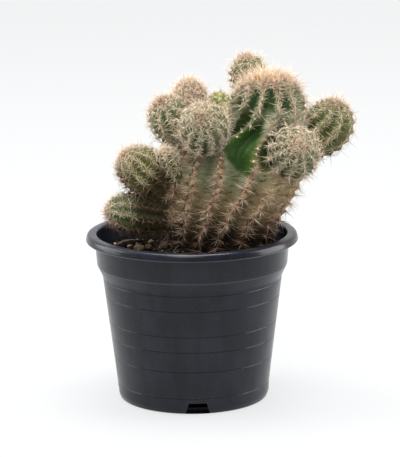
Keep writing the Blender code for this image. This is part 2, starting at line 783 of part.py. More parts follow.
def make_leaf():
    """A thin dry strip on the soil, its width tapering to both ends and its middle arched."""
    start = np.array(LEAF_START)
    end = np.array(LEAF_END)
    share = np.linspace(0.0, 1.0, LEAF_STEPS)
    line = start + (end - start) * share[:, None]
    across = np.array([-(end - start)[1], (end - start)[0]])
    across = across / np.linalg.norm(across)
    swell = np.sin(math.pi * share)
    line = line + across * (LEAF_SWEEP * swell)[:, None]
    half = LEAF_WIDTH / 2 * (LEAF_END_SHARE + (1 - LEAF_END_SHARE) * swell)
    low = SOIL_TOP + GAP + LEAF_ARCH * swell ** 2
    bm = bmesh.new()
    sections = []
    for point, width, base in zip(line, half, low):
        left = point - across * width
        right = point + across * width
        sections.append([
            bm.verts.new((*left, base)), bm.verts.new((*right, base)),
            bm.verts.new((*right, base + LEAF_THICKNESS)),
            bm.verts.new((*left, base + LEAF_THICKNESS))])
    bm.faces.new(sections[0])
    bm.faces.new(sections[-1])
    for one, two in zip(sections, sections[1:]):
        for k in range(4):
            n = (k + 1) % 4
            bm.faces.new((one[k], one[n], two[n], two[k]))
    bmesh.ops.triangulate(bm, faces=bm.faces)
    bmesh.ops.recalc_face_normals(bm, faces=bm.faces)
    add_object("dry_leaf", mesh_from_bmesh("dry_leaf", bm), make_material("dry_leaf", DRY_LEAF))


def main():
    clear_scene()
    make_pot()
    make_soil()
    make_plant()
    make_grit()
    make_leaf()


main()
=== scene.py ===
"""The finished look of the potted lobivia: ribbed skins, spines, soil and a black plastic pot.

All lengths are metres in the frame of the solid part: +Z up, the pot's foot centred on the origin and
the photographed front towards -Y. A skin is a surface of v, from its foot to its apex, and u, which
counts ribs round it, and its spines are placed by the same surface.
"""

import math

import bpy
import numpy as np
from mathutils import Matrix, Vector


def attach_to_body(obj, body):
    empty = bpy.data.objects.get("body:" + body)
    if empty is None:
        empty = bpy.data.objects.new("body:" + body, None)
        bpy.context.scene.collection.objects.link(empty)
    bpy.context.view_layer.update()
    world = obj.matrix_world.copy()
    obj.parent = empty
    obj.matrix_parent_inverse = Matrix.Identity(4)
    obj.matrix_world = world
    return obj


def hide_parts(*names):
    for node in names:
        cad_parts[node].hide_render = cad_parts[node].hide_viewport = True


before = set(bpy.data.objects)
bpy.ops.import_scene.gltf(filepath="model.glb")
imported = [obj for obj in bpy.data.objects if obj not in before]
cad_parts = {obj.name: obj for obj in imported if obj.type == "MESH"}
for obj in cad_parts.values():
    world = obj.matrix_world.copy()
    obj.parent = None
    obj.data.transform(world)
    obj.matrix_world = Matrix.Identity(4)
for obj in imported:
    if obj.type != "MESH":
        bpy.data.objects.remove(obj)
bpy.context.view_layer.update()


# Pot: heights and radii. Its body's radius is a straight line of height, less a little at each step
POT_HEIGHT = 0.0836
LIP_RADIUS = 0.0525
LIP_LOW = 0.0797
MOUTH_RADIUS = 0.0470
COLLAR_LOW = 0.0680
COLLAR_END = 0.0625
FLOOR = 0.0020
FOOT_RADIUS = 0.0354
FOOT_LINE_RADIUS = 0.0373
WALL_SLOPE = 0.1155
STEP_HEIGHTS = (0.0084, 0.0221, 0.0322, 0.0402, 0.0532, 0.0611)
STEP_DEPTH = 0.00007
GROOVE_DEPTH = 0.00012
POT_COLUMNS = 224

# Notches in the pot's foot: the turn of the front one, their inner and outer radius, and their
# height and width at the sill and at the top
NOTCH_COUNT = 4
NOTCH_TURN = math.radians(-87)
NOTCH_RADII = (0.0309, 0.0400)
NOTCH_LEVELS = ((0.0003, 0.0120), (0.0060, 0.0088))

# Soil: its level, the gap that loose things keep above it, how far from the axis crumbs lie, and the
# radius and height of the corners of its foot and side
SOIL_TOP = 0.0745
SOIL_GAP = 0.0003
CRUMB_REACH = 0.0445
SOIL_SIDE = ((0.0010, 0.0023), (0.0290, 0.0023), (0.0290, 0.0090), (0.0364, 0.0095),
             (0.0430, COLLAR_END), (0.0456, COLLAR_LOW), (0.0463, 0.0735))
SOIL_COLUMNS = 220

# Trunk: height, centre x, centre y, half width along x, half depth along y
TRUNK_STATIONS = np.array([
    (0.0580, 0.0120, 0.0000, 0.0170, 0.0150),
    (0.0745, 0.0128, 0.0000, 0.0245, 0.0190),
    (0.0880, 0.0155, 0.0000, 0.0274, 0.0210),
    (0.1030, 0.0200, 0.0000, 0.0316, 0.0230),
    (0.1130, 0.0230, 0.0000, 0.0330, 0.0230),
    (0.1200, 0.0243, 0.0000, 0.0318, 0.0226),
    (0.1260, 0.0268, 0.0005, 0.0289, 0.0214),
    (0.1310, 0.0306, 0.0010, 0.0248, 0.0200),
    (0.1360, 0.0346, 0.0014, 0.0210, 0.0190),
    (0.1410, 0.0368, 0.0018, 0.0191, 0.0185),
    (0.1450, 0.0375, 0.0020, 0.0189, 0.0186),
])
TRUNK_RIBS = 13

# The crown: the heights of its shoulder and its top, and how far the top leans along x and y
SHOULDER = 0.1450
CROWN_TOP = 0.1602
CROWN_LEAN = (0.0008, 0.0005)

# Where v reaches the soil and the shoulder on the trunk, and the cap on a head
ROOT_SHARE = 0.06
CROWN_SHARE = 0.72
CAP_FROM = 0.56

# The trunk's bare green stretch and the strips of painted shade beside it: middle and reach, each as
# (v, u).
# The bare stretch also leans, by this many ribs for a whole v
BARE_MIDDLE = (0.565, 0.50)
BARE_REACH = (0.125, 0.50)
BARE_LEAN = 2.4
PAINTED_SHADE_STRIPS = (((0.635, -0.85), (0.10, 0.72)), ((0.575, 1.50), (0.12, 0.50)))

# Heads: base, apex, radius, widest share, neck share, ribs, bend of the axis
HEADS = {
    "offset_front_left": ((0.0090, -0.0050, 0.1275), (0.0054, -0.0306, 0.1460),
                          0.0114, 0.67, 0.45, 12, (-0.0003, 0.0025, -0.0006)),
    "offset_front_right": ((0.0450, -0.0060, 0.1190), (0.0514, -0.0323, 0.1326),
                           0.0120, 0.65, 0.46, 12, (0.0014, 0.0027, -0.0024)),
    "offset_left": ((0.0020, 0.0030, 0.1230), (-0.0150, 0.0023, 0.1485),
                    0.0106, 0.68, 0.60, 11, (-0.0009, 0.0056, -0.0012)),
    "offset_right": ((0.0540, 0.0050, 0.1225), (0.0712, 0.0037, 0.1469),
                     0.0124, 0.65, 0.36, 10, (0.0058, 0.0060, -0.0061)),
    "offset_low_left": ((-0.0030, -0.0010, 0.1035), (-0.0328, -0.0080, 0.1246),
                        0.0113, 0.68, 0.62, 12, (-0.0033, 0.0012, -0.0040)),
    "offset_rim_left": ((-0.0030, -0.0032, 0.0915), (-0.0417, -0.0085, 0.0965),
                        0.0098, 0.67, 0.58, 10, (-0.0018, 0.0010, -0.0001)),
    "offset_top_rear": ((0.0320, 0.0120, 0.1380), (0.0269, 0.0211, 0.1673),
                        0.0091, 0.69, 0.65, 11, (0.0011, 0.0060, 0.0006)),
    "offset_left_rear": ((0.0090, 0.0090, 0.1280), (-0.0020, 0.0150, 0.1561),
                         0.0072, 0.70, 0.62, 10, (-0.0036, 0.0030, 0.0025)),
    "offset_low_left_small": ((-0.0030, -0.0035, 0.1085), (-0.0132, -0.0085, 0.1262),
                              0.0056, 0.70, 0.70, 9, (-0.0030, -0.0015, -0.0010)),
    "offset_rear_small": ((0.0230, 0.0100, 0.1360), (0.0105, 0.0149, 0.1487),
                          0.0054, 0.70, 0.75, 8, (0.0003, 0.0042, 0.0010)),
}


# Meshes from arrays

def build_mesh(name, points, quads, triangles, uv=None, masks=None, smooth=True):
    """A mesh from whole arrays; uv holds one pair for each corner, quads first."""
    mesh = bpy.data.meshes.new(name)
    quads = np.asarray(quads, np.int32).reshape(-1, 4)
    triangles = np.asarray(triangles, np.int32).reshape(-1, 3)
    corners = np.concatenate([quads.ravel(), triangles.ravel()])
    starts = np.concatenate([np.arange(len(quads)) * 4,
                             len(quads) * 4 + np.arange(len(triangles)) * 3])
    mesh.vertices.add(len(points))
    mesh.vertices.foreach_set("co", np.asarray(points, np.float32).ravel())
    mesh.loops.add(len(corners))
    mesh.loops.foreach_set("vertex_index", corners)
    mesh.polygons.add(len(starts))
    mesh.polygons.foreach_set("loop_start", starts.astype(np.int32))
    mesh.polygons.foreach_set("use_smooth", np.full(len(starts), smooth))
    mesh.update(calc_edges=True)
    if uv is not None:
        layer = mesh.uv_layers.new(name="OFBake")
        layer.data.foreach_set("uv", np.asarray(uv, np.float32).ravel())
    for key, values in (masks or {}).items():
        mesh.attributes.new(key, "FLOAT", "POINT").data.foreach_set(
            "value", np.asarray(values, np.float32).ravel())
    mesh.validate()
    return mesh


# The rows of a closed skin lie between these two values of V, and its fans below and above them
ROWS_FROM, ROWS_TO = 0.002, 0.997


def closed_skin(name, grid, masks=None):
    """A closed body from rows of points round an axis, with a fan over its first and last row.

    The corner at row i, column j has the UV pair (j / columns, i / rows), less room for the fans.
    """
    rows, columns = grid.shape[:2]
    i, j = np.meshgrid(np.arange(rows - 1), np.arange(columns), indexing="ij")
    n = (j + 1) % columns
    quads = np.stack([i * columns + j, i * columns + n,
                      (i + 1) * columns + n, (i + 1) * columns + j], -1).reshape(-1, 4)
    across = np.stack([j, j + 1, j + 1, j], -1).reshape(-1, 4) / columns
    along = np.stack([i, i, i + 1, i + 1], -1).reshape(-1, 4) / (rows - 1)
    k = np.arange(columns)
    n = (k + 1) % columns
    foot = rows * columns
    top = foot + 1
    last = (rows - 1) * columns
    low_fan = np.stack([n, k, np.full(columns, foot)], -1)
    high_fan = np.stack([last + k, last + n, np.full(columns, top)], -1)
    points = np.concatenate([grid.reshape(-1, 3), [grid[0].mean(0)], [grid[-1].mean(0)]])
    fan_across = np.stack([k, k + 1, k + 0.5], -1) / columns
    low_uv = np.stack([fan_across, np.tile([0.0, 0.0, ROWS_FROM], (columns, 1))], -1)
    high_uv = np.stack([fan_across, np.tile([ROWS_TO, ROWS_TO, 1.0], (columns, 1))], -1)
    along = along * (ROWS_TO - ROWS_FROM) + ROWS_FROM
    uv = np.concatenate([np.stack([across, along], -1).reshape(-1, 2),
                         low_uv.reshape(-1, 2), high_uv.reshape(-1, 2)])
    if masks:
        masks = {key: np.concatenate([values.ravel(), [values[0].mean()], [values[-1].mean()]])
                 for key, values in masks.items()}
    return build_mesh(name, points, quads, np.concatenate([low_fan, high_fan]), uv, masks)


def lattice_noise(x, y, cell, seed):
    """Smooth noise from -1 to 1: random values on a square lattice, blended by a cubic ease."""
    values = np.random.default_rng(seed).uniform(-1, 1, (257, 257))
    gx, gy = x / cell + 97.3, y / cell + 71.9
    ix, iy = np.floor(gx).astype(int), np.floor(gy).astype(int)
    fx, fy = gx - ix, gy - iy
    fx, fy = fx * fx * (3 - 2 * fx), fy * fy * (3 - 2 * fy)
    ix, iy = ix % 256, iy % 256
    low = values[ix, iy] * (1 - fx) + values[ix + 1, iy] * fx
    high = values[ix, iy + 1] * (1 - fx) + values[ix + 1, iy + 1] * fx
    return low * (1 - fy) + high * fy


def step_between(low, high, values):
    """0 below low, 1 above high and a cubic ease between them."""
    share = np.clip((values - low) / (high - low), 0, 1)
    return share * share * (3 - 2 * share)


def hermite(at, knots, values):
    """Smooth curve through knots: cubic pieces whose slopes are central differences."""
    slopes = np.gradient(values, knots)
    index = np.clip(np.searchsorted(knots, at) - 1, 0, len(knots) - 2)
    step = knots[index + 1] - knots[index]
    u = (at - knots[index]) / step
    return ((1 + 2 * u) * (1 - u) ** 2 * values[index] + u * (1 - u) ** 2 * step * slopes[index]
            + u * u * (3 - 2 * u) * values[index + 1] + u * u * (u - 1) * step * slopes[index + 1])


# Ribbed bodies

class Ribbed:
    """A ribbed body and the places of its areoles.

    Each kind of body gives its section at v (centre, two directions and two half widths), the angle
    of u, the form of its ribs, the swelling at an areole and the masks of its skin.
    """

    def __init__(self, name, ribs, first, last, spacing):
        """Areoles stand between the first and last value of v, spacing metres apart up a rib."""
        self.name = name
        self.ribs = ribs
        self.first = first
        self.last = last
        self.share = np.linspace(0, 1, 400)
        centre, _, _, half, _ = self.section(self.share)
        step = np.hypot(np.linalg.norm(np.diff(centre, axis=0), axis=1), np.diff(half))
        gaps = np.interp(self.share, np.linspace(0, 1, len(spacing)), spacing)
        self.count = np.concatenate([[0], np.cumsum(step / gaps[1:])])

    def shift(self, rib):
        """How far up a rib's areoles are moved, as a share of their spacing."""
        return np.mod(rib * 0.618, 1.0)

    def areole_phase(self, v, rib):
        """Counts areoles up a rib, a whole number at each, shifted from rib to rib."""
        return np.interp(v, self.share, self.count) + self.shift(rib)

    def areole_places(self):
        """The v and u of every areole between the first and last share of the length."""
        places = []
        for rib in range(self.ribs):
            phase = np.arange(1, int(self.count[-1]) + 2)
            v = np.interp(phase - self.shift(rib), self.count, self.share)
            v = v[(v > self.first) & (v < self.last)]
            places.append(np.stack([v, np.full(len(v), float(rib))], -1))
        return np.concatenate(places)

    def surface(self, v, u):
        """Points of the skin and its masks.

        The point is centre + (half_x - inset) cos(a) X + (half_y - inset) sin(a) Y. The inset grows
        from a rib's rounded crest into its valley, less a swelling at each areole and more in a dip
        between two areoles.
        """
        centre, across, beside, half_x, half_y, angle = self.round(v, u)
        rib = np.mod(np.round(u), self.ribs)
        off = np.abs(u - np.round(u)) * 2
        sharp, depth = self.rib_form(v, u)
        crest = np.sqrt(off ** 2 + 0.010) - 0.1
        ridge = 1 - np.clip(crest / 0.905, 0, 1)
        inset = depth * (1 - ridge ** sharp)
        phase = self.areole_phase(v, rib)
        beside_areole = np.abs(phase - np.round(phase))
        swell = np.exp(-(beside_areole / 0.22) ** 2) * np.exp(-(off / 0.34) ** 2)
        dip = np.exp(-((beside_areole - 0.5) / 0.16) ** 2) * np.exp(-(off / 0.55) ** 2)
        inset = inset + self.swelling(v, u) * (0.9 * dip - swell)
        inset = np.minimum(inset, 0.9 * half_x)
        radial_x = half_x - inset
        radial_y = half_y - inset * half_y / np.maximum(half_x, 1e-6)
        point = (centre + (radial_x * np.cos(angle))[..., None] * across
                 + (radial_y * np.sin(angle))[..., None] * beside)
        return point, {"valley": off, "areole": swell, "age": v + 0 * u, **self.marks(v, u)}

    def normals(self, v, u):
        """Outward direction and the direction towards the apex, from small steps over the skin."""
        step_v, step_u = 0.004, 0.20
        up = self.surface(np.minimum(v + step_v, 0.999), u)[0] - self.surface(v - step_v, u)[0]
        side = self.surface(v, u + step_u)[0] - self.surface(v, u - step_u)[0]
        up = up / np.linalg.norm(up, axis=-1, keepdims=True)
        out = np.cross(side, up)
        out = out / np.linalg.norm(out, axis=-1, keepdims=True)
        centre = self.round(v, u)[0]
        outward = np.sum(out * (self.surface(v, u)[0] - centre), axis=-1, keepdims=True)
        return out * np.where(outward < 0, -1.0, 1.0), up

    def skin(self, rows, columns):
        """The skin as a closed mesh, its rows and columns even in v and u."""
        v = np.linspace(0, 0.995, rows)
        u = np.arange(columns) / columns * self.ribs
        point, masks = self.surface(v[:, None] + 0 * u[None, :], u[None, :] + 0 * v[:, None])
        return closed_skin(self.name, point, masks)


def ribs_from(u, place):
    """How many of the trunk's ribs u lies from a place, the short way round."""
    return np.mod(u - place + TRUNK_RIBS / 2, TRUNK_RIBS) - TRUNK_RIBS / 2


def near_rib(u, place, reach):
    """True where u is less than reach ribs from a place on the trunk."""
    return np.abs(ribs_from(u, place)) < reach


def oval(v, u, middle, reach):
    """The squares of v's and u's distance over their reach, summed: 1 on the oval's edge."""
    return ((v - middle[0]) / reach[0]) ** 2 + (ribs_from(u, middle[1]) / reach[1]) ** 2


def bare_skin(v, u):
    """Mask of the smooth green stretch: a leaning egg in the valley of the two front ribs.

    It is an oval about the middle whose half width shrinks by a quarter towards the foot.
    """
    below = BARE_MIDDLE[0] - v
    width = BARE_REACH[1] * (1 - 0.25 * step_between(0.0, 1.0, below / BARE_REACH[0]))
    leaning = (BARE_MIDDLE[0], BARE_MIDDLE[1] + BARE_LEAN * below)
    return 1 - step_between(0.25, 1.75, oval(v, u, leaning, (BARE_REACH[0], width)))


def painted_shade_strips(v, u):
    """Mask of the painted shade in two strips beside the green stretch, an oval in each neighbouring
    valley.
    """
    left, right = (oval(v, u, middle, reach) for middle, reach in PAINTED_SHADE_STRIPS)
    return 1 - step_between(0.60, 1.30, np.minimum(left, right))


def apart(angle, direction):
    """The angle from a direction, which is in degrees, the short way round."""
    return np.mod(angle - math.radians(direction) + math.pi, 2 * math.pi) - math.pi


class Trunk(Ribbed):
    """The leaning trunk, an ellipse at each height, closed by a quarter ellipse at the crown."""

    # How far the painted shade darkens the spines low on the trunk
    foot_shade = 0.80

    def section(self, v):
        """A smooth curve through the stations up to the shoulder, then the rise and cap of v."""
        low = np.interp(v, (0.0, ROOT_SHARE, CROWN_SHARE), (TRUNK_STATIONS[0, 0], SOIL_TOP, SHOULDER))
        climb = np.clip((v - CROWN_SHARE) / (1 - CROWN_SHARE), 0, 1)
        rise = np.sin(climb * math.pi / 2)
        height = low + (CROWN_TOP - SHOULDER) * rise
        knots = TRUNK_STATIONS[:, 0]
        x, y, half_x, half_y = (hermite(low, knots, TRUNK_STATIONS[:, k]) for k in (1, 2, 3, 4))
        cap = np.cos(climb * math.pi / 2)
        centre = np.stack([x + CROWN_LEAN[0] * rise, y + CROWN_LEAN[1] * rise, height], -1)
        along_x = np.broadcast_to(np.array([1.0, 0, 0]), centre.shape)
        along_y = np.broadcast_to(np.array([0, 1.0, 0]), centre.shape)
        return centre, along_x, along_y, half_x * cap, half_y * cap

    def round(self, v, u):
        """The section at v, and the angle of u.

        The ribs are even, but in front they gather to the left near the soil and at the shoulder.
        """
        centre, along_x, along_y, half_x, half_y = self.section(v)
        height = centre[..., 2]
        climb = np.clip((height - SOIL_TOP) / (SHOULDER - SOIL_TOP), 0, 1)
        even = np.radians(-108 + 6 * climb) + u * 2 * math.pi / self.ribs
        gather = 1 - step_between(0.080, 0.126, height)
        low = gather * np.exp(-(apart(even, -50) / math.radians(55)) ** 2)
        shoulder = np.exp(-((height - 0.132) / 0.011) ** 2
                          - (apart(even, -110) / math.radians(31)) ** 2)
        angle = even - math.radians(17) * low - math.radians(18) * shoulder
        weave = np.sin(height * 420 + 1.7 * np.mod(np.round(u), self.ribs)) * 0.012
        return centre, along_x, along_y, half_x, half_y, angle + weave

    def marks(self, v, u):
        """The bare mask, and the painted shade one: 1 near the soil and in the strips beside the bare
        skin.
        """
        foot = 1 - step_between(0.07, 0.29, v)
        return {"bare": bare_skin(v, u), "dim": np.maximum(painted_shade_strips(v, u), foot)}

    def rib_form(self, v, u):
        """Narrow ribs low down, plain wedges at the shoulder and deeper valleys on the crown."""
        shoulder = step_between(0.40, 0.52, v)
        crown = step_between(0.66, 0.76, v)
        sharp = 1.90 - 0.85 * shoulder + 0.30 * crown
        depth = 0.0043 + 0.0005 * shoulder + 0.0004 * crown
        half = self.section(v)[3]
        return sharp, depth * np.minimum(1.0, half / 0.013)

    def swelling(self, v, u):
        """Half a millimetre, but none on the bare skin or at the apex."""
        return 0.0005 * (1 - bare_skin(v, u)) * (1 - step_between(0.93, 1.0, v))


class Head(Ribbed):
    """An offset: a sine swell from its neck to its widest place, then a quarter ellipse."""

    # How far the painted shade darkens the spines low on a head
    foot_shade = 0.95

    def __init__(self, name, form, closeness, dim_from, shade_to):
        """form is the head's row of HEADS, and closeness scales the spacing of its areoles."""
        base, apex, self.radius, self.widest, self.neck, ribs, bend = form
        self.base, self.apex, self.bend = np.array(base), np.array(apex), np.array(bend)
        self.dim_from, self.shade_to = dim_from, shade_to
        self.cork_to = dim_from if dim_from > 0 else 0.16
        spacing = closeness * np.array([0.0038, 0.0037, 0.0036, 0.0034, 0.0024])
        super().__init__(name, ribs, 0.12, 0.950, spacing)

    def section(self, v):
        """A round section on a curve from base to apex, bent by a middle point between them."""
        middle = (self.base + self.apex) / 2 + self.bend
        climb = np.clip((v - CAP_FROM) / (1 - CAP_FROM), 0, 1) * math.pi / 2
        low = np.minimum(v / CAP_FROM, 1)
        t = (self.widest * low + (1 - self.widest) * np.sin(climb))[..., None]
        centre = (1 - t) ** 2 * self.base + 2 * t * (1 - t) * middle + t ** 2 * self.apex
        along = 2 * (1 - t) * (middle - self.base) + 2 * t * (self.apex - middle)
        along = along / np.linalg.norm(along, axis=-1, keepdims=True)
        reference = np.eye(3)[np.argmin(np.abs(self.apex - self.base))]
        across = reference - along * (along @ reference)[..., None]
        across = across / np.linalg.norm(across, axis=-1, keepdims=True)
        swell = self.neck + (1 - self.neck) * np.sin(math.pi / 2 * low)
        half = self.radius * swell * np.cos(climb)
        return centre, across, np.cross(along, across), half, half

    def round(self, v, u):
        """The section at v, and the angle of u: even ribs with a slight twist."""
        return *self.section(v), u * 2 * math.pi / self.ribs + 0.5 * v

    def rib_form(self, v, u):
        """Wedges about a sixth as deep as the head is wide."""
        return 1.15 + 0 * v, 0.17 * self.section(v)[3]

    def swelling(self, v, u):
        """Half a millimetre, and less where the head is narrow."""
        return 0.0005 * np.minimum(1.0, self.section(v)[3] / (0.5 * self.radius))

    def marks(self, v, u):
        """The painted shade mask: 1 at the foot and on the underside, where shade falls."""
        _, across, beside, _, _, angle = self.round(v, u)
        down = -(np.cos(angle) * across[..., 2] + np.sin(angle) * beside[..., 2])
        foot = (1 - step_between(0.7 * self.shade_to, self.shade_to, v)) * step_between(
            self.dim_from - 0.05, self.dim_from, v)
        under = step_between(0.30, 0.85, down) * (1 - step_between(self.shade_to, self.shade_to + 0.45, v))
        cork = 1 - step_between(self.cork_to - 0.06, self.cork_to + 0.02, v)
        return {"dim": np.maximum(foot, under), "cork": cork}


# How far past the first or last section of its axis a point may lie and still be in a body
END_ROOM = 0.0006


def inside(body, points, margin):
    """True for points inside a body's smooth form, less the margin, found along its axis."""
    share = np.linspace(0.02, 0.995, 60)
    centre, across, beside, half_x, half_y = body.section(share)
    gap = points[:, None, :] - centre[None]
    if isinstance(body, Trunk):
        nearest = np.abs(gap[..., 2]).argmin(1)
    else:
        nearest = (gap ** 2).sum(-1).argmin(1)
    rows = np.arange(len(points))
    gap = gap[rows, nearest]
    along = np.cross(across[nearest], beside[nearest])
    behind = (nearest == 0) & ((gap * along).sum(-1) < -END_ROOM)
    x = (gap * across[nearest]).sum(-1) / np.maximum(half_x[nearest] - margin, 1e-4)
    y = (gap * beside[nearest]).sum(-1) / np.maximum(half_y[nearest] - margin, 1e-4)
    beyond = (nearest == len(share) - 1) & (np.linalg.norm(gap, axis=-1) > END_ROOM)
    return (x ** 2 + y ** 2 < 1) & ~beyond & ~behind


# Spines and wool

# Spines: their lean from the areole's normal in degrees, the near black tone towards which painted
# shade darkens them and the last tone of their scale, and the share kept below which an areole counts
# as sparse
RADIAL_LEAN = (62, 88)
CENTRAL_LEAN = (10, 55)
SHADE_TONE = 0.91
LAST_TONE = 0.92
SPARSE = 0.4


def spine_field(body, rng, radial, central, tuft, tuft_reach, thick, look):
    """Spines of a body: root, direction, bend, length, radius and tone, one row for each spine.

    Radial spines stand round the areole, spread evenly with a little chance, and lean far out from
    its normal; central ones stand closer to it. A tuft of further areoles crowds the apex.
    look(v, u) gives the length, tone, share kept, uprightness, pull and droop of an areole's
    spines: a pull of 1 turns them sideways over the valleys, one of -1 turns them along the rib, and
    droop leans them towards the foot.
    """
    places = body.areole_places()
    extra = np.stack([1 - tuft_reach * rng.uniform(0.02, 1, tuft) ** 0.7,
                      rng.uniform(0, body.ribs, tuft)], -1)
    places = np.concatenate([places, extra])
    v = np.clip(places[:, 0] + rng.uniform(-0.006, 0.006, len(places)), 0, 0.997)
    u = places[:, 1] + rng.uniform(-0.06, 0.06, len(places))
    root = body.surface(v, u)[0]
    out, up = body.normals(v, u)
    side = np.cross(out, up)
    length, tone, keep, upright, pull, droop = look(v, u)
    # Painted shade: spines where the mask is 1 are darkened towards the near black shade tone
    dim = body.marks(v, u)["dim"]
    tone = tone + (SHADE_TONE - tone) * dim * np.where(v < 0.32, body.foot_shade, 0.95)
    number = radial + central
    order = np.arange(number)[None, :]
    is_central = order >= radial
    shape = (len(v), number)
    turn = (order + rng.uniform(-0.50, 0.50, shape)) * 2 * math.pi / radial
    turn = np.where(is_central, rng.uniform(0, 2 * math.pi, shape),
                    turn + rng.uniform(0, 6, (len(v), 1)))
    tilt = np.where(is_central, rng.uniform(*CENTRAL_LEAN, shape), rng.uniform(*RADIAL_LEAN, shape))
    tilt = np.radians(tilt * (1 - 0.50 * upright[:, None]))
    along = np.sin(tilt) * np.cos(turn) * (1 - 0.6 * np.maximum(pull, 0)[:, None])
    across = np.sin(tilt) * np.sin(turn) * (1 + 0.6 * np.minimum(pull, 0)[:, None])
    along = along - droop[:, None]
    aim = (along[..., None] * up[:, None] + across[..., None] * side[:, None]
           + np.cos(tilt)[..., None] * out[:, None])
    aim = aim / np.linalg.norm(aim, axis=-1, keepdims=True)
    reach = length[:, None] * rng.uniform(0.50, 1.20, shape) * np.where(is_central, 1.25, 1.0)
    bend = rng.normal(0, 0.06, (*shape, 3)) - 0.10 * out[:, None]
    width = rng.uniform(thick[0], thick[1], shape) * np.where(is_central, 1.20, 1.0)
    width = width * (1 + 0.5 * upright[:, None])
    tones = tone[:, None] + rng.normal(0, 0.08, shape) + 0.35 * upright[:, None] * is_central
    tones = np.clip(tones, 0.0, LAST_TONE)
    kept = rng.uniform(0, 1, shape) < keep[:, None]
    start = root[:, None] + out[:, None] * 0.0001 + aim * 0.0002
    field = {"root": start[kept], "aim": aim[kept], "bend": bend[kept], "length": reach[kept],
             "thick": width[kept], "tone": tones[kept]}
    pads = {"root": root, "out": out, "up": up, "tone": tone, "keep": keep}
    return field, pads


def along_spine(field, share):
    """The point at a share t of each spine: root + length (aim t + bend t t)."""
    return field["root"] + field["length"][:, None] * (
        field["aim"] * share + field["bend"] * share ** 2)


# Room that spines keep from other bodies, and inwards from the pot's mouth and up from its lip
BODY_GAP = 0.0004
MOUTH_GAP = 0.0008
LIP_GAP = 0.0006


def clear_of(field, bodies, skip):
    """Drops the spines whose root, middle or tip would stand in another body, the soil or the pot."""
    keep = np.ones(len(field["root"]), bool)
    for share in (0.0, 0.45, 0.95):
        point = along_spine(field, share)
        for body in bodies:
            if body is not skip:
                keep &= ~inside(body, point, BODY_GAP)
        keep &= point[:, 2] > SOIL_TOP + SOIL_GAP
        low = point[:, 2] < POT_HEIGHT + LIP_GAP
        keep &= ~(low & (np.hypot(point[:, 0], point[:, 1]) > MOUTH_RADIUS - MOUTH_GAP))
    return {key: values[keep] for key, values in field.items()}


def copies(points, quads, triangles, quad_uv, triangle_uv, tone):
    """Arrays of many forms alike: a form's faces count on its own points, its tone is added to U."""
    count, each = points.shape[:2]
    base = (np.arange(count) * each)[:, None, None]
    shift = np.stack([tone * 0.98 + 0.01, 0 * tone], -1)[:, None, None]
    return (points.reshape(-1, 3), (base + quads).reshape(-1, 4), (base + triangles).reshape(-1, 3),
            (quad_uv + shift).reshape(-1, 2), (triangle_uv + shift).reshape(-1, 2))


# A needle's two rings: their share of its length, and of its thickness
RING_SHARES = (0.0, 0.48)
RING_WIDTHS = (1.0, 0.74)


def needle_arrays(field):
    """Three-sided curved needles: two rings of three points along each spine, and a tip.

    The corner UV is (tone, share of the length), with a very small width for each face.
    """
    aim = field["aim"]
    first = np.cross(aim, np.array([0.31, 0.52, 0.79]))
    first = first / np.linalg.norm(first, axis=-1, keepdims=True)
    second = np.cross(aim, first)
    angle = np.arange(3) * 2 * math.pi / 3
    ring = (np.cos(angle)[None, :, None] * first[:, None]
            + np.sin(angle)[None, :, None] * second[:, None])
    rings = [along_spine(field, share)[:, None] + (field["thick"] * width)[:, None, None] * ring
             for share, width in zip(RING_SHARES, RING_WIDTHS)]
    points = np.concatenate([*rings, along_spine(field, 1.0)[:, None]], 1)
    wall = np.array([[0, 1, 4, 3], [1, 2, 5, 4], [2, 0, 3, 5]])
    ends = np.array([[3, 4, 6], [4, 5, 6], [5, 3, 6], [2, 1, 0]])
    share = np.concatenate([np.repeat(RING_SHARES, 3), [1.0]])
    offset = np.concatenate([np.tile([-0.003, 0.0, 0.003], 2), [0.0]])
    wall_uv = np.stack([offset[wall], share[wall]], -1)
    end_uv = np.stack([offset[ends], share[ends]], -1)
    end_uv[3, :, 1] = (0.0, 0.0, 0.03)
    return copies(points, wall, ends, wall_uv, end_uv, field["tone"])


def pad_arrays(pads, rng, size):
    """Small domes of felt, one on each areole: two rings of six points and a top, closed below."""
    count = len(pads["root"])
    side = np.cross(pads["out"], pads["up"])
    angle = np.arange(6) * math.pi / 3
    grown = np.where(pads["keep"] > SPARSE, 1.0, 1.1)[:, None]
    width = size * rng.uniform(0.75, 1.2, (count, 1)) * grown
    stretch = rng.uniform(1.0, 1.45, (count, 1))
    rings = []
    for reach, lift in ((1.0, -0.25), (0.72, 0.42)):
        around = (np.cos(angle)[None, :, None] * pads["up"][:, None] * stretch[:, :, None]
                  + np.sin(angle)[None, :, None] * side[:, None])
        uneven = rng.uniform(0.85, 1.15, (count, 6, 1))
        rings.append(pads["root"][:, None] + width[:, :, None] * (
            around * reach * uneven + lift * pads["out"][:, None]))
    top = pads["root"] + width * 0.62 * pads["out"]
    foot = pads["root"] - width * 0.25 * pads["out"]
    points = np.concatenate([*rings, top[:, None], foot[:, None]], 1)
    j = np.arange(6)
    n = (j + 1) % 6
    wall = np.stack([j, n, n + 6, j + 6], -1)
    ends = np.concatenate([np.stack([j + 6, n + 6, np.full(6, 12)], -1),
                           np.stack([n, j, np.full(6, 13)], -1)])
    wall_uv = np.stack([np.tile([-0.004, 0.004, 0.004, -0.004], (6, 1)),
                        np.tile([0.22, 0.22, 0.40, 0.40], (6, 1))], -1)
    end_uv = np.stack([np.tile([-0.004, 0.004, 0.0], (12, 1)),
                       np.repeat([[0.40, 0.40, 0.50], [0.22, 0.22, 0.15]], 6, 0)], -1)
    return copies(points, wall, ends, wall_uv, end_uv, pads["pad_tone"])


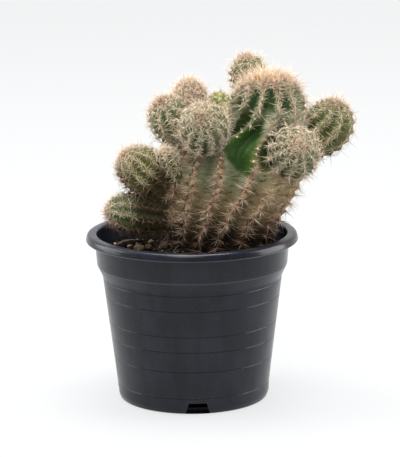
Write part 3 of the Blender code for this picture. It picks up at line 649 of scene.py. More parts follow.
def joined_mesh(name, parts):
    """One mesh from several (points, quads, triangles, quad corner UVs, triangle corner UVs)."""
    points, quads, triangles, quad_uv, triangle_uv = zip(*parts)
    starts = np.cumsum([0, *(len(some) for some in points[:-1])])
    return build_mesh(
        name, np.concatenate(points),
        np.concatenate([some + start for some, start in zip(quads, starts)]),
        np.concatenate([some + start for some, start in zip(triangles, starts)]),
        np.concatenate(quad_uv + triangle_uv))


# Materials

def arithmetic(operation):
    """An operator and its reflected form, each a method that adds a Math node."""
    def forward(value, other):
        return value.math(operation, value, other)

    def reflected(value, other):
        return value.math(operation, other, value)
    return forward, reflected


class Value:
    """A socket whose arithmetic adds Math nodes, so that shader sums read as plain sums."""

    __add__, __radd__ = arithmetic("ADD")
    __sub__, __rsub__ = arithmetic("SUBTRACT")
    __mul__, __rmul__ = arithmetic("MULTIPLY")
    __truediv__, __rtruediv__ = arithmetic("DIVIDE")

    def __init__(self, tree, socket):
        self.tree = tree
        self.socket = socket

    def math(self, operation, *terms):
        """One Math node of this tree, its terms numbers or values."""
        node = self.tree.nodes.new("ShaderNodeMath")
        node.operation = operation
        for port, term in zip(node.inputs, terms):
            attach(self.tree, term, port)
        return Value(self.tree, node.outputs[0])

    def line(self, middle, half):
        """1 at the middle, falling evenly to 0 at half on either side."""
        return (1 - self.math("ABSOLUTE", self - middle) / half).clamp()

    def clamp(self):
        """Kept between 0 and 1."""
        return self.math("MAXIMUM", self.math("MINIMUM", self, 1.0), 0.0)

    def ease(self, low, high):
        """0 below low, 1 above high and a cubic ease between them."""
        share = ((self - low) / (high - low)).clamp()
        return share * share * (3 - 2 * share)


def attach(tree, term, port):
    """Links a value to a port, or sets a plain number or vector there."""
    if isinstance(term, Value):
        tree.links.new(term.socket, port)
    else:
        port.default_value = term


class Finish:
    """A material with one Principled shader, and the few nodes that this plant's looks need."""

    def __init__(self, name, **constants):
        self.material = bpy.data.materials.new(name)
        self.material.use_nodes = True
        self.tree = self.material.node_tree
        self.shader = self.tree.nodes["Principled BSDF"]
        for key, value in constants.items():
            self.set(key.replace("_", " ").title().replace("Ior", "IOR"), value)

    def set(self, port, value):
        """Feeds one of the shader's own inputs."""
        attach(self.tree, value, self.shader.inputs[port])

    def node(self, kind, settings, sockets, output=0):
        """One node: its type, its settings, then the values or links of its sockets."""
        node = self.tree.nodes.new(kind)
        for key, value in settings.items():
            if key == "stops":
                ramp = node.color_ramp
                while len(ramp.elements) < len(value):
                    ramp.elements.new(0.5)
                for element, (place, colour) in zip(ramp.elements, value):
                    element.position = place
                    element.color = (*colour, 1.0)
            else:
                setattr(node, key, value)
        for key, value in sockets.items():
            attach(self.tree, value, node.inputs[key])
        return Value(self.tree, node.outputs[output])

    def place(self):
        """The object's own coordinates, which are the part's."""
        return self.node("ShaderNodeTexCoord", {}, {}, "Object")

    def stretched(self, scale, turn=(0.0, 0.0, 0.0), kind="POINT"):
        """The place times a scale or, as a TEXTURE, over a scale along turned axes."""
        return self.node("ShaderNodeMapping", {"vector_type": kind}, {
            "Vector": self.place(), "Rotation": turn, "Scale": scale})

    def axis(self, vector, letter):
        """The X, Y or Z of a vector."""
        return self.node("ShaderNodeSeparateXYZ", {}, {"Vector": vector}, letter)

    def mask(self, name):
        """A mask that the mesh carries at its points."""
        return self.node("ShaderNodeAttribute", {"attribute_name": name}, {}, "Fac")

    def noise(self, scale, detail=2.0, rough=0.5, vector=None):
        """Noise from about 0.25 to 0.75 over the object's own coordinates, scale in 1 / metre."""
        return self.node("ShaderNodeTexNoise", {}, {
            "Vector": vector or self.place(), "Scale": scale, "Detail": detail, "Roughness": rough})

    def mix(self, share, one, two):
        """Colour one at share 0 and colour two at share 1."""
        one, two = (colour if isinstance(colour, Value) else (*colour, 1.0) for colour in (one, two))
        return self.node("ShaderNodeMix", {"data_type": "RGBA"}, {0: share, 6: one, 7: two}, 2)

    def bump(self, height, distance, strength):
        """Fine relief from a height in units of the distance, in metres."""
        self.set("Normal", self.node("ShaderNodeBump", {}, {
            "Height": height, "Distance": distance, "Strength": strength}))


# Colours along the scale of tones: orange-tan, tan, cream, tan, brown, near black (dark fibres, and
# the painted shade of spines), dry felt
SPINE_TONES = (
    (0.00, (0.620, 0.330, 0.120)),
    (0.12, (0.640, 0.480, 0.355)),
    (0.26, (0.840, 0.740, 0.540)),
    (0.45, (0.770, 0.600, 0.450)),
    (0.60, (0.620, 0.430, 0.310)),
    (0.76, (0.260, 0.170, 0.095)),
    (0.90, (0.080, 0.055, 0.030)),
    (1.00, (0.400, 0.330, 0.250)),
)


def spine_finish():
    """Spine colour from its tone, darker at the root, through the piece's own UV map."""
    finish = Finish("spine_horn", roughness=0.55, specular_ior_level=0.18)
    pair = finish.node("ShaderNodeUVMap", {"uv_map": "OFBake"}, {})
    tone, along = finish.axis(pair, "X"), finish.axis(pair, "Y")
    colour = finish.node("ShaderNodeValToRGB", {"stops": SPINE_TONES}, {"Fac": tone})
    root = 1 - along.ease(0.0, 0.34)
    finish.set("Base Color", finish.mix(root * 0.50, colour, (0.260, 0.140, 0.085)))
    return finish.material


# Brown flecks in the skin of the trunk and of the heads
FLECK = (0.060, 0.045, 0.025)


def skin_finish(name, green, deep, pale):
    """Cactus skin: deep green in the valleys, partly painted shade, paler on the ribs, corky tan at
    its foot.
    """
    finish = Finish(name, roughness=0.62, specular_ior_level=0.18)
    valley, areole = finish.mask("valley"), finish.mask("areole")
    broad, fine = finish.noise(120, 3.0), finish.noise(900, 3.0, 0.6)
    # The valleys' deep green is partly the skin's own and partly painted shade in the creases
    colour = finish.mix((valley + (broad - 0.5) * 0.5).ease(0.30, 0.95), green, deep)
    colour = finish.mix(((broad - 0.42) * 3).clamp() * 0.55, colour, pale)
    old = finish.mask("cork")
    cork = finish.mix(fine.ease(0.35, 0.55), (0.100, 0.062, 0.034), (0.330, 0.220, 0.130))
    colour = finish.mix(old * (1.2 - valley * 0.6).clamp(), colour, cork)
    colour = finish.mix(((fine - 0.54) * 5).clamp() * 0.30, colour, FLECK)
    colour = finish.mix((areole * (0.35 + fine)).clamp() * 0.75, colour, (0.120, 0.060, 0.035))
    # Painted shade: near black where the mask marks the foot and the underside
    colour = finish.mix(finish.mask("dim") * 0.94, colour, (0.022, 0.018, 0.004))
    finish.set("Base Color", colour)
    finish.set("Roughness", 0.50 + 0.35 * old + (fine - 0.5) * 0.2)
    finish.bump(fine + broad * 0.6, 0.0004, 0.55)
    return finish.material


def trunk_finish():
    """The trunk's skin, told by its masks: age from foot to apex, valley, areole and bare.

    From the soil up: dark brown, olive-brown valleys between tan corky ridges, grey-green, the bright
    bare stretch, and a crown that is pale low down with dark pockets between its ribs, partly painted
    shade. Painted shade darkens the foot and the strips beside the bare stretch, and painted light
    makes the old lower trunk paler at its sides.
    """
    finish = Finish("trunk_skin", roughness=0.62, specular_ior_level=0.18)
    valley, areole, age = finish.mask("valley"), finish.mask("areole"), finish.mask("age")
    bare, dim = finish.mask("bare"), finish.mask("dim")
    broad, fine = finish.noise(110, 3.0), finish.noise(800, 3.0, 0.6)
    uneven = broad - 0.5
    # Grey-green, darker in the valleys: partly the skin's own, partly painted shade
    grey = finish.mix(valley.ease(0.20, 0.90), (0.215, 0.220, 0.130), (0.140, 0.152, 0.078))
    lean = finish.stretched((1.0, 1.0, 6.0), turn=(0.0, 0.6, 0.0), kind="TEXTURE")
    streak = finish.noise(300, 3.0, 0.6, lean)
    fresh = finish.mix((valley * 0.6 + streak).ease(0.35, 0.95), (0.050, 0.104, 0.008),
                       (0.011, 0.036, 0.002))
    pale = finish.mix(broad.ease(0.35, 0.65), (0.155, 0.180, 0.100), (0.245, 0.255, 0.165))
    colour = finish.mix((age + uneven * 0.05).ease(0.60, 0.66), grey, pale)
    colour = finish.mix((bare + (streak - 0.5) * 1.2 * bare).ease(0.16, 0.84), colour, fresh)
    # The crown's dark pockets in its valleys: partly the skin's own green, partly painted shade
    pocket = finish.mix(valley.ease(0.15, 0.50), (0.170, 0.190, 0.100), (0.026, 0.056, 0.016))
    colour = finish.mix((age + uneven * 0.05).ease(0.70, 0.75), colour, pocket)
    olive = finish.mix(broad.ease(0.30, 0.70), (0.120, 0.086, 0.038), (0.235, 0.175, 0.090))
    colour = finish.mix((age + uneven * 0.20).ease(0.30, 0.44), olive, colour)
    ridge = 1 - (valley + (fine - 0.5) * 0.45).ease(0.12, 0.42)
    old = (1 - (age + uneven * 0.16).ease(0.50, 0.62)) * (1 - bare)
    cork = finish.mix(fine.ease(0.32, 0.52), (0.260, 0.150, 0.080), (0.540, 0.385, 0.225))
    patch = finish.noise(330, 2.0)
    cork = finish.mix(patch.ease(0.46, 0.56), cork, (0.150, 0.078, 0.048))
    colour = finish.mix((old * ridge).clamp() * 0.9, colour, cork)
    # Painted light: the old lower trunk is paler tan towards its right side and, less, its left, where
    # the side lamps fall
    side = finish.axis(finish.place(), "X")
    painted_light = side.ease(0.024, 0.046) * 0.6 + (1 - side.ease(-0.006, 0.004)) * 0.4
    colour = finish.mix(painted_light * age.ease(0.20, 0.40) * old, colour, (0.460, 0.350, 0.190))
    wrinkle = finish.noise(1100, 3.0, 0.6, finish.stretched((0.22, 0.22, 1.0)))
    colour = finish.mix(wrinkle.ease(0.50, 0.62) * old * valley * 0.75, colour, (0.030, 0.020, 0.009))
    colour = finish.mix(((fine - 0.53) * 5).clamp() * 0.30 * old, colour, FLECK)
    # Darker brown towards the soil
    near_soil = 1 - (age + uneven * 0.10 - valley * 0.08).ease(0.06, 0.23)
    colour = finish.mix(near_soil * 0.88, colour, (0.022, 0.014, 0.008))
    scar = ((fine - 0.58) * 8).clamp() * bare * 0.6 * (1 - valley.ease(0.5, 0.9))
    colour = finish.mix(scar * 0.6, colour, (0.150, 0.190, 0.080))
    colour = finish.mix((areole * (0.35 + fine)).clamp() * 0.75 * (1 - bare), colour,
                        (0.110, 0.050, 0.030))
    # Painted shade: near black low down and dark green higher, at the foot and in the strips beside
    # the bare stretch
    dark = finish.mix(age.ease(0.30, 0.40), (0.007, 0.004, 0.002), (0.020, 0.042, 0.003))
    colour = finish.mix(dim * 0.95, colour, dark)
    finish.set("Base Color", colour)
    finish.set("Roughness", 0.48 + 0.40 * old + (fine - 0.5) * 0.2)
    finish.bump(fine + broad * 0.6 - wrinkle * old, 0.0005, 0.6)
    return finish.material


def pot_finish():
    """Black moulded plastic: near black, satin, with fine level lines, scuffs and a little dust;
    painted reflection darkens its steps and painted highlight lightens its lip and collar edges.
    """
    finish = Finish("black_plastic", specular_ior_level=0.30)
    place = finish.place()
    lines = finish.noise(1500, 2.0, 0.6, finish.stretched((0.05, 0.05, 1.0)))
    cloud, speck = finish.noise(45, 4.0, 0.6), finish.noise(1300, 2.0, 0.7)
    smudge = finish.noise(110, 3.0, 0.6, finish.stretched((1.0, 1.0, 0.3)))
    colour = finish.mix(cloud.ease(0.35, 0.70), (0.0070, 0.0080, 0.0135), (0.0135, 0.0150, 0.0225))
    colour = finish.mix(smudge.ease(0.45, 0.65) * 0.7, colour, (0.0045, 0.0048, 0.0075))
    x, y, height = (finish.axis(place, letter) for letter in "XYZ")
    # Painted reflection: a dark line at each step but the lowest, where the steps reflect shade
    step_reflection = 0.0
    for step in STEP_HEIGHTS[1:]:
        step_reflection = step_reflection + height.line(step, 0.00030)
    colour = finish.mix(step_reflection * cloud.ease(0.35, 0.60) * 0.9, colour, (0.0015, 0.0015, 0.0020))
    # Pale lines: a painted highlight at the lip's lower edge and at the collar's foot, and real scuffs
    # at the lowest step
    outer = ((x * x + y * y - (LIP_RADIUS - 0.0015) ** 2) * 4e4).clamp()
    highlight_and_scuff = height.line(LIP_LOW + 0.0003, 0.00035) * outer
    highlight_and_scuff = highlight_and_scuff + height.line(COLLAR_LOW - 0.0002, 0.00050) * 0.9
    highlight_and_scuff = highlight_and_scuff + height.line(STEP_HEIGHTS[0] + 0.0004, 0.00030) * speck.ease(0.50, 0.70)
    colour = finish.mix((highlight_and_scuff * (0.3 + speck)).clamp() * 0.8, colour, (0.075, 0.080, 0.095))
    colour = finish.mix(((speck - 0.66) * 9).clamp() * 0.5, colour, (0.110, 0.105, 0.100))
    finish.set("Base Color", colour)
    finish.set("Roughness", 0.24 + (cloud - 0.5) * 0.25 + (smudge - 0.5) * 0.20 + (lines - 0.5) * 0.14)
    finish.bump(lines * 0.5 + speck * 0.12, 0.00008, 0.6)
    return finish.material


def soil_finish(name, one, two, scale):
    """Dull ground from colour one to colour two in clumps, scale of them to a metre."""
    finish = Finish(name, roughness=0.95, specular_ior_level=0.05)
    coarse, fine = finish.noise(scale, 3.0, 0.6), finish.noise(scale * 5, 3.0, 0.6)
    finish.set("Base Color", finish.mix((coarse + (fine - 0.5) * 0.7).ease(0.38, 0.68), one, two))
    finish.bump(fine, 0.0004, 0.8)
    return finish.material


# Placing pieces

def add_piece(mesh, material, nodes=()):
    """Puts a mesh in the scene with its finish, riding on the root, in place of the nodes named."""
    item = bpy.data.objects.new(mesh.name, mesh)
    bpy.context.scene.collection.objects.link(item)
    mesh.materials.append(material)
    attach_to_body(item, "root")
    if nodes:
        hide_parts(*nodes)
    return item


# The pot

def rounded(corners, steps):
    """A profile whose corners (radius, height, cut) become quadratic curves over the cut length."""
    line = []
    for k, (x, z, cut) in enumerate(corners):
        here = np.array([x, z])
        if cut == 0 or k in (0, len(corners) - 1):
            line.append(here)
            continue
        back = np.array(corners[k - 1][:2]) - here
        ahead = np.array(corners[k + 1][:2]) - here
        start = here + back * min(cut / np.linalg.norm(back), 0.49)
        end = here + ahead * min(cut / np.linalg.norm(ahead), 0.49)
        t = np.linspace(0, 1, steps)[:, None]
        line.extend((1 - t) ** 2 * start + 2 * t * (1 - t) * here + t ** 2 * end)
    return np.array(line)


def body_radius(height):
    """Outer radius of the pot's tapering body."""
    return FOOT_LINE_RADIUS + WALL_SLOPE * height


def pot_profile():
    """From near the foot's centre up the outside, over the lip and down the inside."""
    corners = [(0.0010, 0.0, 0), (FOOT_RADIUS - 0.0008, 0.0, 0.0004),
               (FOOT_RADIUS + 0.0012, 0.0005, 0.0008), (body_radius(0.0032), 0.0032, 0.0012)]
    for number, step in enumerate(STEP_HEIGHTS):
        above = len(STEP_HEIGHTS) - number
        radius = body_radius(step) - STEP_DEPTH * above
        corners += [(radius, step - 0.0003, 0.0001), (radius - GROOVE_DEPTH, step, 0.0001),
                    (radius + STEP_DEPTH, step + 0.0002, 0.0001)]
    corners += [
        (0.0445, COLLAR_END, 0.0006), (0.0456, 0.0649, 0.0012), (0.0471, COLLAR_LOW, 0.0005),
        (0.0481, 0.0795, 0.0007), (LIP_RADIUS - 0.0005, LIP_LOW, 0.0001),
        (LIP_RADIUS, 0.0803, 0.0002), (LIP_RADIUS - 0.0008, POT_HEIGHT, 0.0016),
        (MOUTH_RADIUS + 0.0003, POT_HEIGHT, 0.0007), (MOUTH_RADIUS - 0.0001, 0.0815, 0.0008),
        (0.0459, COLLAR_LOW, 0.0010), (0.0433, COLLAR_END, 0.0010), (0.0360, FLOOR, 0.0005),
        (0.0010, FLOOR, 0)]
    return rounded(corners, 6)


def make_pot(material):
    """The pot's profile turned round the axis, less four slanting notches in its foot."""
    profile = pot_profile()
    angle = np.arange(POT_COLUMNS) * 2 * math.pi / POT_COLUMNS
    grid = np.stack([profile[:, :1] * np.cos(angle), profile[:, :1] * np.sin(angle),
                     profile[:, 1:] + 0 * angle], -1)
    mesh = closed_skin("pot_shell", grid)
    # The notches cut its faces, so its UV map is removed
    mesh.uv_layers.remove(mesh.uv_layers[0])
    pot = add_piece(mesh, material, ("pot",))
    corners = np.array([(radius, side * width / 2, height) for radius in NOTCH_RADII
                        for height, width in NOTCH_LEVELS for side in (-1, 1)])
    sides = np.array([(0, 2, 3, 1), (4, 5, 7, 6), (0, 1, 5, 4), (2, 6, 7, 3), (0, 4, 6, 2),
                      (1, 3, 7, 5)])
    points, faces = [], []
    for number in range(NOTCH_COUNT):
        turn = NOTCH_TURN + number * 2 * math.pi / NOTCH_COUNT
        spin = np.array([[math.cos(turn), math.sin(turn), 0],
                         [-math.sin(turn), math.cos(turn), 0], [0, 0, 1]])
        points.append(corners @ spin)
        faces.append(sides + number * len(corners))
    cutter = bpy.data.objects.new("notch_cutter", build_mesh(
        "notch_cutter", np.concatenate(points), np.concatenate(faces), []))
    bpy.context.scene.collection.objects.link(cutter)
    cut = pot.modifiers.new("Notches", "BOOLEAN")
    cut.operation = "DIFFERENCE"
    cut.solver = "EXACT"
    cut.object = cutter
    graph = bpy.context.evaluated_depsgraph_get()
    finished = bpy.data.meshes.new_from_object(pot.evaluated_get(graph))
    pot.modifiers.clear()
    pot.data = finished
    bpy.data.objects.remove(cutter)
    finished.shade_smooth()
    finished.set_sharp_from_angle(angle=math.radians(38))


# Soil, grit and leaf

def twenty_sided():
    """Points and faces of a ball of twenty triangles: two rings of five, half a step apart, and poles.

    A ring's radius is 2 / sqrt 5 and its height 1 / sqrt 5 below or above the middle.
    """
    place = np.arange(5)
    rings = []
    for first, side in ((-36, -1), (-72, 1)):
        angle = np.radians(first - 72 * place)
        rings.append(np.stack([2 * np.cos(angle), 2 * np.sin(angle), np.full(5, side)], -1))
    points = np.concatenate([[(0, 0, -1)], *(ring / math.sqrt(5) for ring in rings), [(0, 0, 1)]])
    low, high, foot, top = place + 1, place + 6, np.full(5, 0), np.full(5, 11)
    next_low, next_high = np.roll(low, -1), np.roll(high, -1)
    faces = np.concatenate([np.stack(corners, -1) for corners in (
        (foot, low, next_low), (next_low, low, high), (next_low, high, next_high),
        (next_high, high, top))])
    return points, faces


BALL_POINTS, BALL_FACES = twenty_sided()


def lumps(places, sizes, rng):
    """Uneven grains: a twenty-sided ball whose points are moved by chance, stretched and turned."""
    count = len(places)
    points = BALL_POINTS * rng.uniform(0.72, 1.25, (count, 12, 1)) * sizes[:, None, :]
    turn = rng.uniform(0, 2 * math.pi, (count, 1))
    tip = rng.uniform(-0.6, 0.6, (count, 1))
    x, y, z = np.moveaxis(points, -1, 0)
    x, z = x * np.cos(tip) + z * np.sin(tip), z * np.cos(tip) - x * np.sin(tip)
    x, y = x * np.cos(turn) - y * np.sin(turn), x * np.sin(turn) + y * np.cos(turn)
    points = np.stack([x, y, z], -1) + places[:, None]
    faces = (np.arange(count) * 12)[:, None, None] + BALL_FACES
    return points.reshape(-1, 3), faces.reshape(-1, 3)


def soil_height(x, y):
    """Height of the uneven soil: just under its level, plus a slow wave and two sizes of lumps."""
    return (SOIL_TOP - 0.0006 + 0.0009 * lattice_noise(x, y, 0.011, 5)
            + 0.0006 * lattice_noise(x, y, 0.0030, 6) + 0.0003 * lattice_noise(x, y, 0.0012, 7))


def make_soil():
    """The filling: its level is a rough surface of radius and angle, its side follows the pot."""
    angle = np.arange(SOIL_COLUMNS) * 2 * math.pi / SOIL_COLUMNS
    side_radius, side_height = np.array(SOIL_SIDE).T
    radius = np.concatenate([side_radius, np.linspace(0.0462, 0.0008, SOIL_COLUMNS // 2)])
    x, y = radius[:, None] * np.cos(angle), radius[:, None] * np.sin(angle)
    z = soil_height(x, y)
    z[:len(side_height)] = side_height[:, None]
    mesh = closed_skin("soil_bed", np.stack([x, y, z], -1))
    dark = soil_finish("potting_mix", (0.0025, 0.0017, 0.0012), (0.0085, 0.0053, 0.0030), 700)
    add_piece(mesh, dark, ("soil",))


def on_soil(count, rng):
    """Places spread evenly over the soil's disc."""
    radius = CRUMB_REACH * np.sqrt(rng.uniform(0, 1, count))
    angle = rng.uniform(0, 2 * math.pi, count)
    x, y = radius * np.cos(angle), radius * np.sin(angle)
    return np.stack([x, y, soil_height(x, y)], -1)


# Loose bits on the soil: piece, finish, slot, how many, their least and greatest size and stretch,
# their two colours and the scale of their clumps
LOOSE_BITS = (
    ("bark_crumbs", "bark", "potting_soil", 1500, (0.0003, 0.0012), (0.5, 1.3),
     (0.0035, 0.0025, 0.0017), (0.021, 0.012, 0.007), 260),
    ("pale_specks", "pale_mineral", "pale_grit", 170, (0.0003, 0.0009), (0.6, 1.2),
     (0.140, 0.095, 0.060), (0.420, 0.320, 0.210), 300))


def make_crumbs():
    """Bark crumbs and pale specks, spread over the soil as uneven grains."""
    rng = np.random.default_rng(21)
    for piece, finish, slot, count, size, stretch, dark, light, scale in LOOSE_BITS:
        places = on_soil(count, rng)
        sizes = rng.uniform(*size, (count, 1)) * rng.uniform(*stretch, (count, 3))
        points, faces = lumps(places, sizes, rng)
        mesh = build_mesh(piece, points, [], faces, smooth=False)
        add_piece(mesh, soil_finish(finish, dark, light, scale))


# Grains of grit: x, y and radius
GRIT_PLACES = ((-0.0262, -0.0035, 0.0025), (-0.0215, 0.0010, 0.0019), (-0.0205, 0.0128, 0.0016),
               (-0.0272, 0.0052, 0.0013), (-0.0312, 0.0035, 0.0012))


def make_grit():
    """Rounded grains: balls of angle and height, pressed, made uneven by slow noise, flat below."""
    height = np.linspace(-math.pi / 2 + 0.06, math.pi / 2 - 0.06, 18)
    angle = np.arange(28) * 2 * math.pi / 28
    material = soil_finish("grit_stone", (0.120, 0.084, 0.050), (0.300, 0.225, 0.145), 420)
    for number, (x, y, size) in enumerate(GRIT_PLACES):
        level = np.cos(height)[:, None]
        ball = np.stack([level * np.cos(angle), level * np.sin(angle),
                         np.sin(height)[:, None] + 0 * angle], -1)
        rough = lattice_noise(ball[..., 0] + 3 * number, ball[..., 1] + ball[..., 2] * 1.3, 0.7, 11)
        ball = ball * size * (1 + 0.14 * rough)[..., None] * np.array([1.0, 0.85, 0.72])
        ball[..., 2] = np.maximum(ball[..., 2], -0.55 * size)
        lift = SOIL_TOP + SOIL_GAP - ball[..., 2].min()
        mesh = closed_skin("grain_%d" % (number + 1), ball + np.array([x, y, lift]))
        add_piece(mesh, material, ("grit_%d" % (number + 1),))


# The dry strip: its ends on the soil (x, y), its half width, and how far its middle arches up and
# sideways
LEAF_ENDS = np.array([(-0.0402, 0.0030), (-0.0240, 0.0188)])
LEAF_HALF_WIDTH = 0.0013
LEAF_ARCH = 0.0012


def make_leaf():
    """A dry strip on the soil: a cupped section carried along a line that arches up at its middle."""
    start, end = LEAF_ENDS
    share = np.linspace(0.0, 1.0, 40)
    across = np.array([-(end - start)[1], (end - start)[0]]) / np.linalg.norm(end - start)
    swell = np.sin(math.pi * share)
    line = start + (end - start) * share[:, None] + across * (LEAF_ARCH * swell)[:, None]
    half = LEAF_HALF_WIDTH * (0.25 + 0.75 * np.sin(math.pi * np.clip(share, 0.05, 0.95)) ** 0.8)
    low = SOIL_TOP + SOIL_GAP + LEAF_ARCH * swell ** 2
    angle = np.arange(20) * 2 * math.pi / 20
    wide = np.cos(angle)
    thick = np.sin(angle) * 0.00030 + 0.0004 + 0.0004 * np.cos(angle) ** 2
    ripple = 1 + 0.12 * np.sin(share * 31)
    grid = np.stack([line[:, :1] + across[0] * (half * ripple)[:, None] * wide,
                     line[:, 1:] + across[1] * (half * ripple)[:, None] * wide,
                     low[:, None] + thick + 0 * half[:, None]], -1)
    mesh = closed_skin("dry_strip", grid[:, ::-1])
    add_piece(mesh, soil_finish("dry_leaf", (0.030, 0.026, 0.022), (0.085, 0.075, 0.062), 500),
              ("dry_leaf",))


def make_fibres(horn):
    """Dry roots and fallen spines in a tangle round the stem's foot: long, strongly bent needles."""
    rng = np.random.default_rng(33)
    count = 260
    _, foot_x, foot_y, foot_wide, foot_deep = TRUNK_STATIONS[1]
    angle = rng.uniform(math.radians(120), math.radians(330), count)
    x = foot_x + np.cos(angle) * (foot_wide + rng.uniform(0.0, 0.007, count))
    y = foot_y + np.sin(angle) * (foot_deep + rng.uniform(0.0, 0.007, count))
    keep = np.hypot(x, y) < 0.040
    x, y = x[keep], y[keep]
    count = len(x)
    aim = np.stack([rng.normal(0, 1, count), rng.normal(0, 1, count),
                    rng.uniform(0, 0.45, count)], -1)
    aim = aim / np.linalg.norm(aim, axis=-1, keepdims=True)
    bend = rng.normal(0, 0.35, (count, 3)) * np.array([1, 1, 0.3])
    root = np.stack([x, y, soil_height(x, y) + rng.uniform(0.0, 0.0016, count)], -1)
    field = {"root": root, "aim": aim, "bend": bend, "length": rng.uniform(0.003, 0.008, count),
             "thick": rng.uniform(0.00009, 0.00018, count),
             "tone": rng.choice([0.60, 0.78, 0.90, 1.0], count)}
    field = clear_of(field, [], None)
    add_piece(joined_mesh("dry_fibres", [needle_arrays(field)]), horn)


# The plant

def trunk_look(v, u):
    """Long cream spines low on the crown, upright orange-tan ones at its apex, grey-tan below.

    Those beside the bare stretch are short and few, and fans of long ones cross above it.
    """
    apex = step_between(0.81, 0.87, v)
    crown = step_between(0.58, 0.68, v)
    fans = step_between(0.62, 0.66, v) * (1 - step_between(0.70, 0.74, v))
    fans = fans * np.where(near_rib(u, 0, 0.5), 0.2, 1.0)
    length = 0.0066 - 0.0020 * crown + 0.0032 * fans + 0.0024 * apex
    tone = 0.46 - 0.16 * crown + 0.12 * step_between(0.79, 0.86, v)
    tone = np.where((v > 0.895) & near_rib(u, 0.2, 1.8), 0.02, tone + (0.25 - tone) * fans)
    beside_bare = (np.abs(v - BARE_MIDDLE[0]) < 0.08) & near_rib(u, BARE_MIDDLE[1], 1)
    length = np.where(beside_bare, 0.0022, length)
    tone = np.where(beside_bare, 0.30, tone)
    keep = np.where(beside_bare, 0.35, 0.85 + 0.15 * crown)
    beside_gap = step_between(0.57, 0.61, v) * (1 - step_between(0.70, 0.74, v))
    sparse = beside_gap * np.where(near_rib(u, -1, 0.5), 0.85, 0.6 * near_rib(u, 0, 0.5))
    left_side = near_rib(u, -2, 1.3) * step_between(0.66, 0.72, v)
    keep = keep * (1 - 0.35 * left_side * (1 - apex))
    pull = 1 - 0.4 * crown - 1.4 * step_between(0.71, 0.75, v) * (1 - apex) - 0.6 * apex
    droop = 0.18 * (1 - step_between(0.50, 0.62, v))
    return length, tone, keep * (1 - sparse), 0.35 * apex, pull, droop


def head_look(cork_to, base_tone, apex_tone, length, keep):
    """Spines of an offset: redder and more upright towards the apex, longer on the corky foot."""
    def look(v, u):
        apex = step_between(0.80, 0.97, v)
        foot = v < cork_to
        tone = np.where(foot, 0.36, base_tone + (apex_tone - base_tone) * apex)
        reach = length * (1 - 0.15 * apex + 0.3 * foot)
        return reach, tone, keep + 0 * v, 0.30 * apex, 0 * v, 0 * v
    return look


# Of each offset's spines: base tone, apex tone, length, share kept, thickness and areole spacing,
# and the two values of v that bound the painted shade at the offset's foot and underside
HEAD_LOOKS = {
    "offset_front_left": (0.26, 0.54, 0.0038, 0.96, 0.00010, 1.0, -0.1, 0.03),
    "offset_front_right": (0.31, 0.49, 0.0044, 0.96, 0.00010, 1.0, -0.1, 0.20),
    "offset_left": (0.34, 0.62, 0.0048, 0.96, 0.00010, 0.9, -0.1, 0.02),
    "offset_right": (0.28, 0.60, 0.0052, 0.90, 0.00008, 1.1, -0.1, 0.15),
    "offset_low_left": (0.26, 0.56, 0.0042, 0.90, 0.00008, 0.9, 0.25, 0.56),
    "offset_rim_left": (0.27, 0.56, 0.0044, 0.90, 0.00007, 0.8, 0.21, 0.66),
    "offset_top_rear": (0.32, 0.66, 0.0044, 0.96, 0.00009, 1.0, -0.1, 0.10),
    "offset_left_rear": (0.40, 0.53, 0.0052, 1.00, 0.00012, 0.7, -0.1, 0.10),
    "offset_low_left_small": (0.26, 0.36, 0.0044, 1.00, 0.00011, 0.7, -0.1, 0.08),
    "offset_rear_small": (0.26, 0.30, 0.0034, 0.80, 0.00008, 1.1, -0.1, 0.10),
}

# Skin colours: rib, valley (its darker green partly painted shade) and pale patches
GREY_GREEN = ((0.140, 0.165, 0.085), (0.037, 0.056, 0.015), (0.190, 0.205, 0.115))
PINK_TAN = ((0.420, 0.310, 0.220), (0.250, 0.180, 0.115), (0.460, 0.350, 0.250))
OLIVE_GREEN = ((0.105, 0.120, 0.034), (0.032, 0.046, 0.009), (0.160, 0.165, 0.060))
DARK_GREEN = ((0.085, 0.110, 0.040), (0.016, 0.042, 0.006), (0.110, 0.130, 0.055))
YELLOW_GREEN = ((0.320, 0.350, 0.120), (0.120, 0.160, 0.040), (0.400, 0.390, 0.180))
YELLOW_OLIVE = ((0.120, 0.120, 0.030), (0.055, 0.058, 0.012), (0.165, 0.155, 0.055))
HEAD_SKINS = {
    "offset_front_left": GREY_GREEN,
    "offset_front_right": GREY_GREEN,
    "offset_left": GREY_GREEN,
    "offset_right": OLIVE_GREEN,
    "offset_low_left": YELLOW_OLIVE,
    "offset_rim_left": DARK_GREEN,
    "offset_top_rear": OLIVE_GREEN,
    "offset_left_rear": PINK_TAN,
    "offset_low_left_small": OLIVE_GREEN,
    "offset_rear_small": YELLOW_GREEN,
}


def make_spines(body, bodies, rng, field, pads, horn, pad_size):
    """A body's spines and felt pads as one piece, less those that would stand in another body."""
    field = clear_of(field, bodies, body)
    shown = pads["root"][:, 2] > SOIL_TOP
    for other in bodies:
        if other is not body:
            shown &= ~inside(other, pads["root"], 0.0)
    pads = {key: values[shown] for key, values in pads.items()}
    felt = np.clip(pads["tone"] + rng.uniform(0.02, 0.36, len(pads["root"])), 0.1, 0.84)
    sunk = np.clip(pads["tone"] + 0.10, 0.40, 0.88)
    pads["pad_tone"] = np.where(pads["keep"] > SPARSE, felt, sunk)
    mesh = joined_mesh(body.name + "_spines", [needle_arrays(field), pad_arrays(pads, rng, pad_size)])
    add_piece(mesh, horn)


